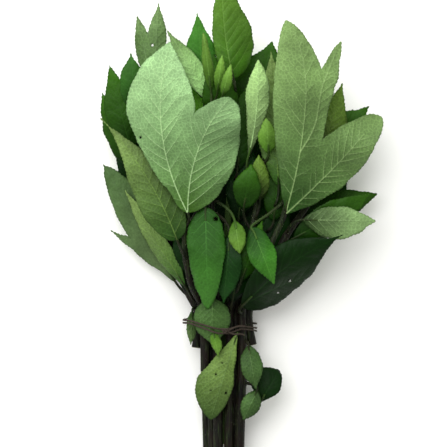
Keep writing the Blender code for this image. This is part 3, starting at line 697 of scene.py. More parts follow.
def lay_shoot(shoot, pile, first_seed):
    """One shoot's stem, petioles and laid leaves, added to the pile in the order of the solids."""
    under = []
    for number, spec in enumerate(shoot.under):
        under.append(lay_leaf(spec, BLADE / 2, pile, first_seed + number))
        pile.add(*under[-1][1:])
    line, radii = stem_line(shoot, pile)
    stalks = []
    for laid, _, _ in under:
        stalks.append(petiole(point_on(line, laid.spec.at), laid, None))
    pile.add(*tube_triangles(line, radii, STEM_SIDES))
    for stalk in stalks:
        pile.add(*tube_triangles(*stalk, PETIOLE_SIDES))
    leaves = [laid for laid, _, _ in under]
    for number, spec in enumerate(shoot.over):
        start = point_on(line, spec.at)
        seed = first_seed + len(shoot.under) + number
        laid, points, faces = lay_leaf(spec, start[2] + 3, pile, seed)
        stalks.append(petiole(start, laid, pile))
        leaves.append(laid)
        pile.add(points, faces)
        pile.add(*tube_triangles(*stalks[-1], PETIOLE_SIDES))
    return (line, radii), stalks, leaves


# Fine leaf blades


def rib_lines(laid, step):
    """The midrib of each lobe, laid flat: straight from the base, or through its own plan positions."""
    made = []
    for number, lobe in enumerate(laid.spec.lobes):
        turn = math.radians(lobe.angle)
        if laid.spec.ribs:
            made.append(smooth_path([laid.flat_spot(spot) for spot in laid.spec.ribs[number]], step))
        else:
            far = np.arange(0, 0.96 * laid.length * lobe.length, step)
            made.append(far[:, None] * np.array([math.sin(turn), math.cos(turn)]))
    return made


def vein_run(laid, ribs, own, begin, heading, bend, step):
    """Points of one side vein laid flat, from begin on, until the blade or its lobe ends."""
    count = int((0.8 * laid.spec.width + 14) / step)
    turn = heading + bend * np.linspace(0, 1, count)
    steps = np.stack([np.sin(turn), np.cos(turn)], 1) * step
    line = np.concatenate([[begin], begin + np.cumsum(steps, axis=0)])
    angles = np.arctan2(line[:, 0], line[:, 1])
    room = edge_radius(angles, laid.spec, laid.length) - np.hypot(line[:, 0], line[:, 1])
    off = [np.linalg.norm(line[:, None] - rib[None], axis=2).min(1) for rib in ribs]
    others = np.min(off[:own] + off[own + 1:] + [np.full(len(line), 99.0)], axis=0)
    inside = (room > VEIN_TO_EDGE) & (off[own] < 0.8 * others)
    inside[:2] = True
    return line if inside.all() else line[:int(np.argmin(inside))]


def side_veins(laid, ribs, own, step):
    """The side veins of one lobe and their outer branches, from its midrib to its edge, laid flat."""
    rib = ribs[own]
    ahead = np.gradient(rib, axis=0)
    far = run_along(rib)
    gap = 0.055 * far[-1] + 3.0
    size = 0.5 + 0.5 * laid.length / HERO_LENGTH
    made = []
    for side in (-1, 1):
        start = 0.2 * gap if side < 0 else 0.55 * gap
        number = 0
        while start < 0.94 * far[-1]:
            at_point = int(np.searchsorted(far, start))
            along = math.atan2(*ahead[at_point])
            uneven = 4 * math.sin(2.3 * number + side + far[-1])
            opening = math.radians(VEIN_OPENING - 18 * start / far[-1] + uneven)
            bend = -side * math.radians(VEIN_BEND)
            line = vein_run(laid, ribs, own, rib[at_point], along + side * opening, bend, step)
            if len(line) > 3:
                fade = np.linspace(1, 0.35, len(line))
                shown = 0.7 * fade * min(1, len(line) * step / FULL_VEIN)
                made.append(Vein(line, SIDE_VEIN_HALF * size * fade, shown))
            if len(line) * step > 9:
                fork = int(0.55 * len(line))
                away = math.atan2(*(line[fork] - line[fork - 1])) + side * math.radians(FORK_OPENING)
                branch = vein_run(laid, ribs, own, line[fork], away, bend, step)
                if len(branch) > 3:
                    fade = np.linspace(1, 0.5, len(branch))
                    made.append(Vein(branch, BRANCH_HALF * size * fade, 0.35 * fade))
            number += 1
            start += gap * (1 + 0.22 * math.sin(1.7 * number + 2 * side + far[-1]))
    return made


def veins(laid, step):
    """The midrib of each lobe and its side veins, laid flat."""
    ribs = rib_lines(laid, step)
    made = []
    for own, rib in enumerate(ribs):
        far = run_along(rib)
        thick = (0.35 + 0.65 * (1 - far / far[-1])) * (0.5 + 0.5 * laid.length / HERO_LENGTH)
        made.append(Vein(rib, MIDRIB_HALF * thick, np.linspace(0.85, 0.65, len(rib))))
        made += side_veins(laid, ribs, own, step)
    return made


def nearest(spots, others):
    """How far each spot is from the nearest of the others."""
    tree = kdtree.KDTree(len(others))
    for i, other in enumerate(others):
        tree.insert((other[0], other[1], 0), i)
    tree.balance()
    return np.array([tree.find((spot[0], spot[1], 0))[2] for spot in spots])


def field(flat, size, seed):
    """Smooth noise of a given size in millimetres at each flat point."""
    return np.array([noise.noise((u / size, v / size, seed)) for u, v in flat])


def wavering(edge, seed):
    """A leaf's edge with its small uneven waves, away from its base."""
    outward = -right_of(unit(np.roll(edge, -1, axis=0) - np.roll(edge, 1, axis=0)))
    wave = field(edge, EDGE_WAVE_SIZE, 1.7 * seed) + 0.4 * field(edge, FINE_EDGE_SIZE, 2.9 * seed)
    fade = (np.hypot(edge[:, 0], edge[:, 1]) / 14).clip(0, 1)
    return edge + outward * (EDGE_WAVE * wave * fade)[:, None]


def fine_flat(laid, look, settings):
    """A leaf's fine triangles laid flat, with edges of the mesh along its veins and its holes."""
    spec, length = laid.spec, laid.length
    step = 0.85 * look.grid
    edge = wavering(outline(spec, settings.tooth_pitch / MM / 2, settings.tooth_depth / MM), laid.seed)
    points = [tuple(p) for p in edge]
    links = chain(0, len(edge), closed=True)
    lines = veins(laid, step)
    flanks = []
    for vein in lines:
        aside = right_of(unit(np.gradient(vein.line, axis=0)))
        aside *= np.maximum(vein.half_width, NARROWEST)[:, None]
        flanks += [vein.line[1:] + aside[1:], vein.line[1:] - aside[1:]]
        links += chain(len(points), len(vein.line))
        points += [tuple(p) for p in vein.line]
    rings = []
    for x, y, radius in spec.holes:
        middle = laid.flat_spot((x, y))
        turns = np.linspace(0, 2 * math.pi, HOLE_CORNERS + 1)[:-1]
        ragged = radius * (1 + 0.22 * np.sin(2 * turns + x) + 0.12 * np.sin(5 * turns + y))
        ring = middle + np.stack([np.cos(turns), np.sin(turns)], 1) * ragged[:, None]
        links += chain(len(points), HOLE_CORNERS, closed=True)
        points += [tuple(p) for p in ring]
        rings.append((middle, radius))
    cores = np.array(points[len(edge):])
    flanks = np.concatenate(flanks)
    flanks = flanks[nearest(flanks, cores) > BESIDE_VEIN]
    low, high = edge.min(0), edge.max(0)
    rows = np.arange(low[1], high[1], look.grid * 0.87)
    columns = np.arange(low[0], high[0] + look.grid, look.grid)
    u = columns[None] + (np.arange(len(rows)) % 2)[:, None] * look.grid / 2
    fill = np.stack([u, np.broadcast_to(rows[:, None], u.shape)], 2).reshape(-1, 2)
    fill = fill[nearest(fill, np.concatenate([cores, flanks])) > 0.62 * look.grid]
    inner = np.concatenate([flanks, fill])
    angles = np.arctan2(inner[:, 0], inner[:, 1])
    room = edge_radius(angles, spec, length) - np.hypot(inner[:, 0], inner[:, 1])
    inner = inner[room > BESIDE_OUTLINE]
    inner = inner[nearest(inner, edge) > BESIDE_EDGE]
    flat, faces = triangulated(points + [tuple(p) for p in inner], links)
    faces = np.array(faces)
    for middle, radius in rings:
        centres = flat[faces].mean(1)
        faces = faces[np.linalg.norm(centres - middle, axis=1) > 0.8 * radius]
    return flat, faces, lines, edge, rings


def vein_relief(flat, lines):
    """At each flat point: the height of the vein there, its colour share, and how far a vein is."""
    height = np.zeros(len(flat))
    share = np.zeros(len(flat))
    away = np.full(len(flat), NO_VEIN)
    for vein in lines:
        reach = VEIN_NEAR + np.linalg.norm(vein.line - vein.line.mean(0), axis=1).max()
        close = np.flatnonzero(np.linalg.norm(flat - vein.line.mean(0), axis=1) < reach)
        if not len(close):
            continue
        a, b = vein.line[:-1], vein.line[1:]
        along = b - a
        to = flat[close][:, None] - a[None]
        s = ((to * along).sum(2) / (along ** 2).sum(1)).clip(0, 1)
        off = np.linalg.norm(to - s[:, :, None] * along, axis=2)
        best = off.argmin(1)
        off = off[np.arange(len(close)), best]
        half = vein.half_width[best]
        height[close] = np.maximum(height[close], (half - off).clip(0))
        share[close] = np.maximum(share[close], vein.strength[best] * (1 - off / half).clip(0))
        away[close] = np.minimum(away[close], off)
    return height, share, away


def closed_sheet(faces, count):
    """Triangles of a sheet's top, of its bottom, `count` points on, and of the walls between them."""
    directed = np.concatenate([faces[:, [0, 1]], faces[:, [1, 2]], faces[:, [2, 0]]])
    known = {(int(a), int(b)) for a, b in directed}
    rims = np.array([(a, b) for a, b in known if (b, a) not in known])
    rims = rims[np.lexsort((rims[:, 1], rims[:, 0]))]
    a, b = rims[:, 0], rims[:, 1]
    walls = np.concatenate([np.stack([b, a, a + count], 1), np.stack([b, a + count, b + count], 1)])
    return np.concatenate([faces, faces[:, ::-1] + count, walls])


def blade_colours(laid, look, flat, share, to_edge):
    """The colour at each point of the side that shows, then at each point of its back."""
    t = (np.hypot(flat[:, 0], flat[:, 1]) / laid.length).clip(0, 1)[:, None]
    # Base to tip: the darker bases are painted shade from the middle of the bunch, partly the leaf's own
    # green
    shown = np.array(linear(look.base)) * (1 - t) + np.array(linear(look.tip)) * t
    back = np.broadcast_to(np.array(linear(look.back)), shown.shape)
    # One half of the blade darkened: painted shade
    dim = laid.spec.dim
    shaded_half = 0.5 + 0.5 * np.tanh(flat[:, 0] * np.sign(dim) / PAINTED_SHADE_SPREAD)
    shown = shown * (1 - abs(dim) * shaded_half)[:, None]
    vary = 1 + LEAF_TO_LEAF * math.sin(5.1 * laid.seed)
    shown = shown * vary * (1 - share[:, None]) + np.array(linear(look.vein)) * share[:, None]
    # A thin darker rim along the edge: painted shade
    rim_shade = close_to(to_edge, RIM_SHADE_REACH)[:, None]
    return np.concatenate([shown * (1 - RIM_SHADE_DEPTH * rim_shade), back])


def fine_blade(laid, settings):
    """A leaf blade as a closed sheet: its points, triangles, and what its materials read."""
    look = LOOKS[laid.spec.look]
    flat, faces, lines, edge, rings = fine_flat(laid, look, settings)
    ridge, share, away = vein_relief(flat, lines)
    middle = laid.place(flat)
    corners = middle[faces]
    facing = np.cross(corners[:, 1] - corners[:, 0], corners[:, 2] - corners[:, 0])
    normal = np.zeros_like(middle)
    for i in range(3):
        np.add.at(normal, faces[:, i], facing)
    normal = unit(normal)
    crinkle = field(flat, CRINKLE_SIZE, 3.7 * laid.seed)
    crinkle += 0.4 * field(flat, FINE_CRINKLE_SIZE, 9.1 + laid.seed)
    wave = field(flat, BROAD_WAVE_SIZE, 1.3 * laid.seed)
    ruffle = field(flat, RIM_WAVE_SIZE, 5.3 + 2.1 * laid.seed)
    to_edge = nearest(flat, edge)
    for centre, radius in rings:
        to_edge = np.minimum(to_edge, (np.linalg.norm(flat - centre, axis=1) - radius).clip(0))
    ruffle *= close_to(to_edge, RIM_WAVE_REACH)
    puff = (1 - close_to(away, PUFF_REACH)) * (1 - close_to(to_edge, RIM_REACH))
    way = 1 if look.upper_side_up else -1
    middle = middle + normal * (way * look.quilt * (puff - 0.5) + settings.crinkle / MM * crinkle
                                + BROAD_WAVE * wave + RIM_WAVE * ruffle)[:, None]
    thick = 0.5 * settings.thickness / MM
    vein = settings.vein_height * ridge
    top = thick + (vein if way < 0 else -SUNK_VEIN * vein)
    bottom = thick + (vein if way > 0 else -SUNK_VEIN * vein)
    points = np.concatenate([middle + normal * top[:, None], middle - normal * bottom[:, None]])
    n = len(flat)
    points[:, 2] += np.tile((FLOOR_CLEAR - np.minimum(points[:n, 2], points[n:, 2])).clip(0), 2)
    triangles = closed_sheet(faces, n)
    top_side, bottom_side = int(look.upper_side_up), int(not look.upper_side_up)
    runs = [len(faces), len(faces), len(triangles) - 2 * len(faces)]
    uv = flat / UV_MM + np.array([0.37 * laid.seed, 0.61 * laid.seed]) % 1
    return {"points": points, "triangles": triangles,
            "skin": blade_colours(laid, look, flat, share, to_edge),
            "sides": np.repeat([top_side, bottom_side, top_side], runs),
            "uv": np.tile(uv, (2, 1))}


def blades_object(name, blades, materials):
    """One mesh object of several leaf blades, with their colours, veins and UV map."""
    starts = np.cumsum([0] + [len(blade["points"]) for blade in blades])
    points = np.concatenate([blade["points"] for blade in blades])
    points = (points - np.array(CENTRE)) * MM
    faces = np.concatenate([blade["triangles"] + start for blade, start in zip(blades, starts)])
    mesh = bpy.data.meshes.new(name)
    mesh.vertices.add(len(points))
    mesh.vertices.foreach_set("co", points.ravel())
    mesh.loops.add(3 * len(faces))
    mesh.loops.foreach_set("vertex_index", faces.ravel().astype(np.int32))
    mesh.polygons.add(len(faces))
    mesh.polygons.foreach_set("loop_start", np.arange(0, 3 * len(faces), 3, dtype=np.int32))
    for made in materials:
        mesh.materials.append(made)
    sides = np.concatenate([blade["sides"] for blade in blades])
    mesh.polygons.foreach_set("material_index", sides.astype(np.int32))
    mesh.update(calc_edges=True)
    skin = np.concatenate([blade["skin"] for blade in blades])
    colours = mesh.attributes.new("skin", "FLOAT_COLOR", "POINT")
    colours.data.foreach_set("color", np.column_stack([skin, np.ones(len(skin))]).ravel().astype(np.float32))
    uv = np.concatenate([blade["uv"] for blade in blades])
    layer = mesh.uv_layers.new(name="leaf")
    layer.data.foreach_set("uv", uv[faces.ravel()].ravel().astype(np.float32))
    mesh.shade_smooth()
    return placed(name, mesh)


# Nodes


def connect(node, inputs):
    """Links each input to a socket or to a node's first output, or sets it to a value."""
    for key, value in inputs.items():
        value = value.outputs[0] if isinstance(value, bpy.types.Node) else value
        if isinstance(value, bpy.types.NodeSocket):
            node.id_data.links.new(value, node.inputs[key])
        else:
            node.inputs[key].default_value = value


def add_node(tree, kind, settings, inputs):
    """A new node with its settings and its inputs."""
    made = tree.nodes.new(kind)
    for name, value in settings.items():
        setattr(made, name, value)
    connect(made, inputs)
    return made


def new_material(name):
    """An empty material's tree, its Principled BSDF and the material."""
    made = bpy.data.materials.new(name)
    made.use_nodes = True
    return made.node_tree, made.node_tree.nodes["Principled BSDF"], made


def mixed(tree, share, one, other, way="MIX"):
    """The colour socket of two colours mixed by a share."""
    return add_node(tree, "ShaderNodeMix", {"data_type": "RGBA", "blend_type": way},
                    {0: share, 6: one, 7: other}).outputs[2]


def leaf_material(name, roughness, specular, net_height, net_tone):
    """A leaf's skin. Colour and veins come with the mesh; the fine net and mottling come from here.

    The smallest veins of the real leaf make cells of under a millimetre. Those are too fine to show,
    so the net is drawn with cells of 3 mm.
    """
    tree, shader, made = new_material(name)
    skin = add_node(tree, "ShaderNodeAttribute", {"attribute_name": "skin"}, {})
    place = add_node(tree, "ShaderNodeUVMap", {"uv_map": "leaf"}, {})
    patches = add_node(tree, "ShaderNodeTexNoise", {"noise_dimensions": "2D"},
                       {"Vector": place, "Scale": UV_MM / PATCH, "Detail": 3.0})
    patch = add_node(tree, "ShaderNodeMapRange", {}, {0: patches, 1: 0.3, 2: 0.7, 3: 0.8, 4: 1.2})
    grain = add_node(tree, "ShaderNodeTexNoise", {"noise_dimensions": "2D"},
                     {"Vector": place, "Scale": UV_MM / GRAIN, "Detail": 2.0})
    speck = add_node(tree, "ShaderNodeMapRange", {}, {0: grain, 1: 0.3, 2: 0.7, 3: 0.9, 4: 1.1})
    cells = add_node(tree, "ShaderNodeTexVoronoi",
                     {"feature": "DISTANCE_TO_EDGE", "voronoi_dimensions": "2D"},
                     {"Vector": place, "Scale": UV_MM / NET})
    net = add_node(tree, "ShaderNodeMapRange", {"clamp": True},
                   {0: cells, 1: 0.02, 2: 0.16, 3: 1.0, 4: 0.0})
    tone = add_node(tree, "ShaderNodeMath", {"operation": "MULTIPLY_ADD"}, {0: net, 1: net_tone, 2: 1.0})
    level = add_node(tree, "ShaderNodeMath", {"operation": "MULTIPLY"}, {0: patch, 1: speck})
    level = add_node(tree, "ShaderNodeMath", {"operation": "MULTIPLY"}, {0: level, 1: tone})
    colour = mixed(tree, 1.0, skin.outputs["Color"], level, "MULTIPLY")
    height = add_node(tree, "ShaderNodeMath", {"operation": "MULTIPLY_ADD"},
                      {0: net, 1: net_height, 2: grain})
    bump = add_node(tree, "ShaderNodeBump", {}, {"Strength": 0.16, "Distance": 0.4 * MM, "Height": height})
    gloss = add_node(tree, "ShaderNodeMapRange", {},
                     {0: patches, 1: 0.3, 2: 0.7, 3: roughness + 0.06, 4: roughness - 0.05})
    connect(shader, {"Base Color": colour, "Normal": bump, "Roughness": gloss,
                     "Specular IOR Level": specular})
    return made


def stalk_material(settings):
    """Living stem skin, smooth and waxy: near-black maroon, greener where the stalk is young."""
    tree, shader, made = new_material("stem_skin_waxy")
    redness = add_node(tree, "ShaderNodeAttribute", {"attribute_name": "redness"}, {})
    place = add_node(tree, "ShaderNodeTexCoord", {}, {})
    across, along = 1 / (STREAK_WIDTH * MM), 1 / (STREAK_LENGTH * MM)
    stretch = add_node(tree, "ShaderNodeMapping", {"vector_type": "POINT"},
                       {"Vector": place.outputs["Object"], "Scale": (across, along, across)})
    streaks = add_node(tree, "ShaderNodeTexNoise", {}, {"Vector": stretch, "Scale": 1.0, "Detail": 3.0})
    blotches = add_node(tree, "ShaderNodeTexNoise", {},
                        {"Vector": place.outputs["Object"], "Scale": 1 / (BLOTCH * MM), "Detail": 2.0})
    thread = add_node(tree, "ShaderNodeMapRange", {"clamp": True},
                      {0: streaks, 1: 0.5, 2: 0.75, 3: 0.0, 4: 1.0})
    dark = mixed(tree, thread, (*settings.bark_dark, 1), (*settings.bark_light, 1))
    share = add_node(tree, "ShaderNodeMapRange", {"clamp": True},
                     {0: blotches, 1: 0.35, 2: 0.7, 3: 0.0, 4: 0.5})
    dark = mixed(tree, share, dark, (*settings.maroon, 1))
    colour = mixed(tree, redness.outputs["Fac"], (*settings.young_green, 1), dark)
    bump = add_node(tree, "ShaderNodeBump", {}, {"Strength": 0.7, "Distance": 0.6 * MM, "Height": streaks})
    connect(shader, {"Base Color": colour, "Normal": bump, "Roughness": 0.55, "Specular IOR Level": 0.13})
    return made


def plain_material(name, code, roughness, grain_size, low, high):
    """A material of one colour with a grain of so many millimetres, from low to high in brightness."""
    tree, shader, made = new_material(name)
    place = add_node(tree, "ShaderNodeTexCoord", {}, {})
    grain = add_node(tree, "ShaderNodeTexNoise", {},
                     {"Vector": place.outputs["Object"], "Scale": 1 / (grain_size * MM), "Detail": 4.0})
    level = add_node(tree, "ShaderNodeMapRange", {}, {0: grain, 1: 0.3, 2: 0.7, 3: low, 4: high})
    colour = mixed(tree, 1.0, (*linear(code), 1), level, "MULTIPLY")
    bump = add_node(tree, "ShaderNodeBump", {}, {"Strength": 0.3, "Distance": 0.2 * MM, "Height": grain})
    connect(shader, {"Base Color": colour, "Normal": bump, "Roughness": roughness})
    return made


def new_tree(name, inputs):
    """A geometry tree with a Geometry input and output and the named inputs, and its input node."""
    tree = bpy.data.node_groups.new(name, "GeometryNodeTree")
    tree.interface.new_socket("Geometry", in_out="INPUT", socket_type="NodeSocketGeometry")
    for label, kind in inputs:
        tree.interface.new_socket(label, in_out="INPUT", socket_type=kind)
    tree.interface.new_socket("Geometry", in_out="OUTPUT", socket_type="NodeSocketGeometry")
    return tree, add_node(tree, "NodeGroupInput", {}, {})


def scattered(tree, skin, given, density, size, lean, scale):
    """Cones of a radius and a length, standing all over the skin and each leaning its own way."""
    roots = add_node(tree, "GeometryNodeDistributePointsOnFaces", {"distribute_method": "RANDOM"},
                     {"Mesh": skin, "Density": given.outputs[density], "Seed": given.outputs["Seed"]})
    cone = add_node(tree, "GeometryNodeMeshCone", {},
                    {"Vertices": 3, "Radius Top": 0.0, "Radius Bottom": size[0], "Depth": size[1]})
    tilt = add_node(tree, "FunctionNodeRandomValue", {"data_type": "FLOAT_VECTOR"},
                    {0: (-lean, -lean, -lean), 1: (lean, lean, lean), "Seed": given.outputs["Seed"]})
    leaning = add_node(tree, "FunctionNodeRotateRotation", {"rotation_space": "LOCAL"},
                       {"Rotation": roots.outputs["Rotation"], "Rotate By": tilt})
    return add_node(tree, "GeometryNodeInstanceOnPoints", {},
                    {"Points": roots.outputs["Points"], "Instance": cone.outputs["Mesh"],
                     "Rotation": leaning, "Scale": scale})


def stalk_tree():
    """Sweeps ribbed skin along the lines of a mesh by their radius, and scatters short hairs on it."""
    tree, given = new_tree("Ribbed stalks", (
        ("Sides", "NodeSocketInt"), ("Ribs", "NodeSocketInt"), ("Rib depth", "NodeSocketFloat"),
        ("Hair density", "NodeSocketFloat"), ("Hair length", "NodeSocketFloat"), ("Seed", "NodeSocketInt"),
        ("Skin", "NodeSocketMaterial"), ("Hair", "NodeSocketMaterial")))
    lines = add_node(tree, "GeometryNodeMeshToCurve", {}, {"Mesh": given.outputs["Geometry"]})
    thick = add_node(tree, "GeometryNodeInputNamedAttribute", {"data_type": "FLOAT"}, {"Name": "thick"})
    circle = add_node(tree, "GeometryNodeCurvePrimitiveCircle", {},
                      {"Resolution": given.outputs["Sides"], "Radius": 1.0})
    param = add_node(tree, "GeometryNodeSplineParameter", {}, {})
    turn = add_node(tree, "ShaderNodeMath", {"operation": "MULTIPLY"},
                    {0: param.outputs["Factor"], 1: 2 * math.pi})
    ribs = add_node(tree, "ShaderNodeMath", {"operation": "MULTIPLY"}, {0: turn, 1: given.outputs["Ribs"]})
    wave = add_node(tree, "ShaderNodeMath", {"operation": "COSINE"}, {0: ribs})
    grown = add_node(tree, "ShaderNodeMath", {"operation": "MULTIPLY_ADD"},
                     {0: wave, 1: given.outputs["Rib depth"], 2: 1.0})
    spot = add_node(tree, "GeometryNodeInputPosition", {}, {})
    moved = add_node(tree, "ShaderNodeVectorMath", {"operation": "SCALE"}, {0: spot, "Scale": grown})
    ribbed = add_node(tree, "GeometryNodeSetPosition", {}, {"Geometry": circle, "Position": moved})
    skin = add_node(tree, "GeometryNodeCurveToMesh", {},
                    {"Curve": lines, "Profile Curve": ribbed, "Scale": thick, "Fill Caps": True})
    smooth = add_node(tree, "GeometryNodeSetShadeSmooth", {}, {"Geometry": skin})
    coated = add_node(tree, "GeometryNodeSetMaterial", {},
                      {"Geometry": smooth, "Material": given.outputs["Skin"]})
    size = add_node(tree, "FunctionNodeRandomValue", {"data_type": "FLOAT"},
                    {2: 0.5, 3: 1.2, "Seed": given.outputs["Seed"]})
    hairs = scattered(tree, skin, given, "Hair density", (HAIR_RADIUS, given.outputs["Hair length"]),
                      HAIR_LEAN, size.outputs[1])
    real = add_node(tree, "GeometryNodeRealizeInstances", {}, {"Geometry": hairs})
    furred = add_node(tree, "GeometryNodeSetMaterial", {},
                      {"Geometry": real, "Material": given.outputs["Hair"]})
    both = add_node(tree, "GeometryNodeJoinGeometry", {}, {})
    connect(both, {0: furred})
    connect(both, {0: coated})
    add_node(tree, "NodeGroupOutput", {}, {0: both})
    return tree


def strand_tree():
    """Twists three plies round the lines of a mesh, with loose fibres standing off them."""
    tree, given = new_tree("Twisted strand", (
        ("Plies", "NodeSocketInt"), ("Ply offset", "NodeSocketFloat"), ("Ply radius", "NodeSocketFloat"),
        ("Twist length", "NodeSocketFloat"), ("Fibre density", "NodeSocketFloat"), ("Seed", "NodeSocketInt"),
        ("Fibre", "NodeSocketMaterial")))
    lines = add_node(tree, "GeometryNodeMeshToCurve", {}, {"Mesh": given.outputs["Geometry"]})
    even = add_node(tree, "GeometryNodeResampleCurve", {"mode": "LENGTH"},
                    {"Curve": lines, "Length": 0.6 * MM})
    plies = add_node(tree, "GeometryNodeDuplicateElements", {"domain": "SPLINE"},
                     {"Geometry": even, "Amount": given.outputs["Plies"]})
    param = add_node(tree, "GeometryNodeSplineParameter", {}, {})
    turns = add_node(tree, "ShaderNodeMath", {"operation": "DIVIDE"},
                     {0: param.outputs["Length"], 1: given.outputs["Twist length"]})
    part = add_node(tree, "ShaderNodeMath", {"operation": "DIVIDE"},
                    {0: plies.outputs["Duplicate Index"], 1: given.outputs["Plies"]})
    total = add_node(tree, "ShaderNodeMath", {"operation": "ADD"}, {0: turns, 1: part})
    angle = add_node(tree, "ShaderNodeMath", {"operation": "MULTIPLY"}, {0: total, 1: 2 * math.pi})
    tangent = add_node(tree, "GeometryNodeInputTangent", {}, {})
    normal = add_node(tree, "GeometryNodeInputNormal", {}, {})
    other = add_node(tree, "ShaderNodeVectorMath", {"operation": "CROSS_PRODUCT"}, {0: tangent, 1: normal})
    cosine = add_node(tree, "ShaderNodeMath", {"operation": "COSINE"}, {0: angle})
    sine = add_node(tree, "ShaderNodeMath", {"operation": "SINE"}, {0: angle})
    one = add_node(tree, "ShaderNodeVectorMath", {"operation": "SCALE"}, {0: normal, "Scale": cosine})
    two = add_node(tree, "ShaderNodeVectorMath", {"operation": "SCALE"}, {0: other, "Scale": sine})
    way = add_node(tree, "ShaderNodeVectorMath", {"operation": "ADD"}, {0: one, 1: two})
    offset = add_node(tree, "ShaderNodeVectorMath", {"operation": "SCALE"},
                      {0: way, "Scale": given.outputs["Ply offset"]})
    wound = add_node(tree, "GeometryNodeSetPosition", {}, {"Geometry": plies, "Offset": offset})
    circle = add_node(tree, "GeometryNodeCurvePrimitiveCircle", {},
                      {"Resolution": 7, "Radius": given.outputs["Ply radius"]})
    skin = add_node(tree, "GeometryNodeCurveToMesh", {},
                    {"Curve": wound, "Profile Curve": circle, "Fill Caps": True})
    smooth = add_node(tree, "GeometryNodeSetShadeSmooth", {}, {"Geometry": skin})
    fibres = scattered(tree, skin, given, "Fibre density", (FIBRE_RADIUS, FIBRE_LENGTH), FIBRE_LEAN,
                       (1.0, 1.0, 1.0))
    both = add_node(tree, "GeometryNodeJoinGeometry", {}, {})
    connect(both, {0: fibres})
    connect(both, {0: smooth})
    real = add_node(tree, "GeometryNodeRealizeInstances", {}, {"Geometry": both})
    done = add_node(tree, "GeometryNodeSetMaterial", {},
                    {"Geometry": real, "Material": given.outputs["Fibre"]})
    add_node(tree, "NodeGroupOutput", {}, {0: done})
    return tree


def fine_stalks(shoot, line, radii, stalks, laid):
    """A shoot's stem, swollen at its leaf joints, and its petioles, as fine lines to sweep."""
    stem = smooth_path(line, STALK_STEP)
    thick = np.interp(run_along(stem), run_along(line), radii)
    for one in laid:
        thick = thick * (1 + NODE_SWELLING * close_to(stem[:, 1] - one.spec.at, NODE_SPREAD))
    far = run_along(stem) / run_along(stem)[-1]
    bark = 0.55 if shoot.name in GREEN_STEMMED else 1.0
    made = [Stalk(stem, thick, (1.3 - 0.45 * far).clip(0, 1) * bark)]
    for (petiole_line, petiole_radii), one in zip(stalks, laid):
        soft = smooth_path(petiole_line, PETIOLE_STEP)
        share = run_along(soft) / run_along(soft)[-1]
        width = np.interp(run_along(soft), run_along(petiole_line), petiole_radii)
        green = 0.6 if one.spec.look in PALE_STALKED else 0.1
        made.append(Stalk(soft, width * 0.92, 1 - green * share - 0.4 * share ** 6))
    return made


def lines_object(name, stalks):
    """A mesh of loose lines with a radius and a redness at each point."""
    points, links, thick, redness = [], [], [], []
    for stalk in stalks:
        links += chain(len(points), len(stalk.line))
        points += [tuple(at(p)) for p in stalk.line]
        thick += list(np.array(stalk.radii) * MM)
        redness += list(stalk.redness)
    mesh = bpy.data.meshes.new(name)
    mesh.from_pydata(points, links, [])
    for key, values in (("thick", thick), ("redness", redness)):
        mesh.attributes.new(key, "FLOAT", "POINT").data.foreach_set("value", values)
    return placed(name, mesh)


def pressed(piece):
    """Lays whatever would reach below the surface under the bunch flat on it."""
    spots = np.empty(3 * len(piece.data.vertices), np.float32)
    piece.data.vertices.foreach_get("co", spots)
    spots[2::3] = np.maximum(spots[2::3], FLOOR_CLEAR * MM)
    piece.data.vertices.foreach_set("co", spots)
    piece.data.update()
    return piece


def grown(source, tree, values):
    """The source turned to a plain mesh by a geometry tree with the given input values."""
    modifier = source.modifiers.new("grow", "NODES")
    modifier.node_group = tree
    for item in tree.interface.items_tree:
        if item.in_out == "INPUT" and item.name in values:
            modifier[item.identifier] = values[item.name]
    bpy.context.view_layer.update()
    graph = bpy.context.evaluated_depsgraph_get()
    mesh = bpy.data.meshes.new_from_object(source.evaluated_get(graph), depsgraph=graph)
    source.modifiers.remove(modifier)
    old = source.data
    source.data = mesh
    bpy.data.meshes.remove(old)
    return source


def joined(name, objects):
    """Several mesh objects as one piece of the given name."""
    with bpy.context.temp_override(active_object=objects[0], object=objects[0], selected_objects=objects,
                                   selected_editable_objects=objects):
        bpy.ops.object.join()
    objects[0].name = name
    objects[0].data.name = name
    return objects[0]


def cut_end(name, line, radius, material):
    """The sawn face of a stem: rings of bark, wood and pith, domed a little."""
    ahead = Vector(line[0] - line[1]).normalized()
    side = ahead.orthogonal().normalized()
    other = ahead.cross(side)
    shape = bmesh.new()
    rings = []
    for share, lift in CUT_RINGS:
        ring = []
        for i in range(STALK_SIDES):
            turn = 2 * math.pi * i / STALK_SIDES
            out = share * radius * (1 + 0.03 * math.sin(3 * turn + line[0][0]))
            across = side * math.cos(turn) + other * math.sin(turn)
            ring.append(shape.verts.new(at(Vector(line[0]) + ahead * lift + across * out)))
        rings.append(ring)
    middle = shape.verts.new(at(Vector(line[0]) + ahead * CUT_MIDDLE))
    under = shape.verts.new(at(Vector(line[0]) - ahead * CUT_SUNK))
    around = chain(0, STALK_SIDES, closed=True)
    for a, b in zip(rings, rings[1:]):
        for i, j in around:
            shape.faces.new([a[i], a[j], b[j], b[i]])
    for i, j in around:
        shape.faces.new([rings[-1][i], rings[-1][j], middle])
        shape.faces.new([rings[0][j], rings[0][i], under])
    bmesh.ops.recalc_face_normals(shape, faces=shape.faces)
    mesh = bpy.data.meshes.new(name)
    shape.to_mesh(mesh)
    shape.free()
    mesh.materials.append(material)
    return placed(name, mesh)


# Settings, with the defaults of this bunch


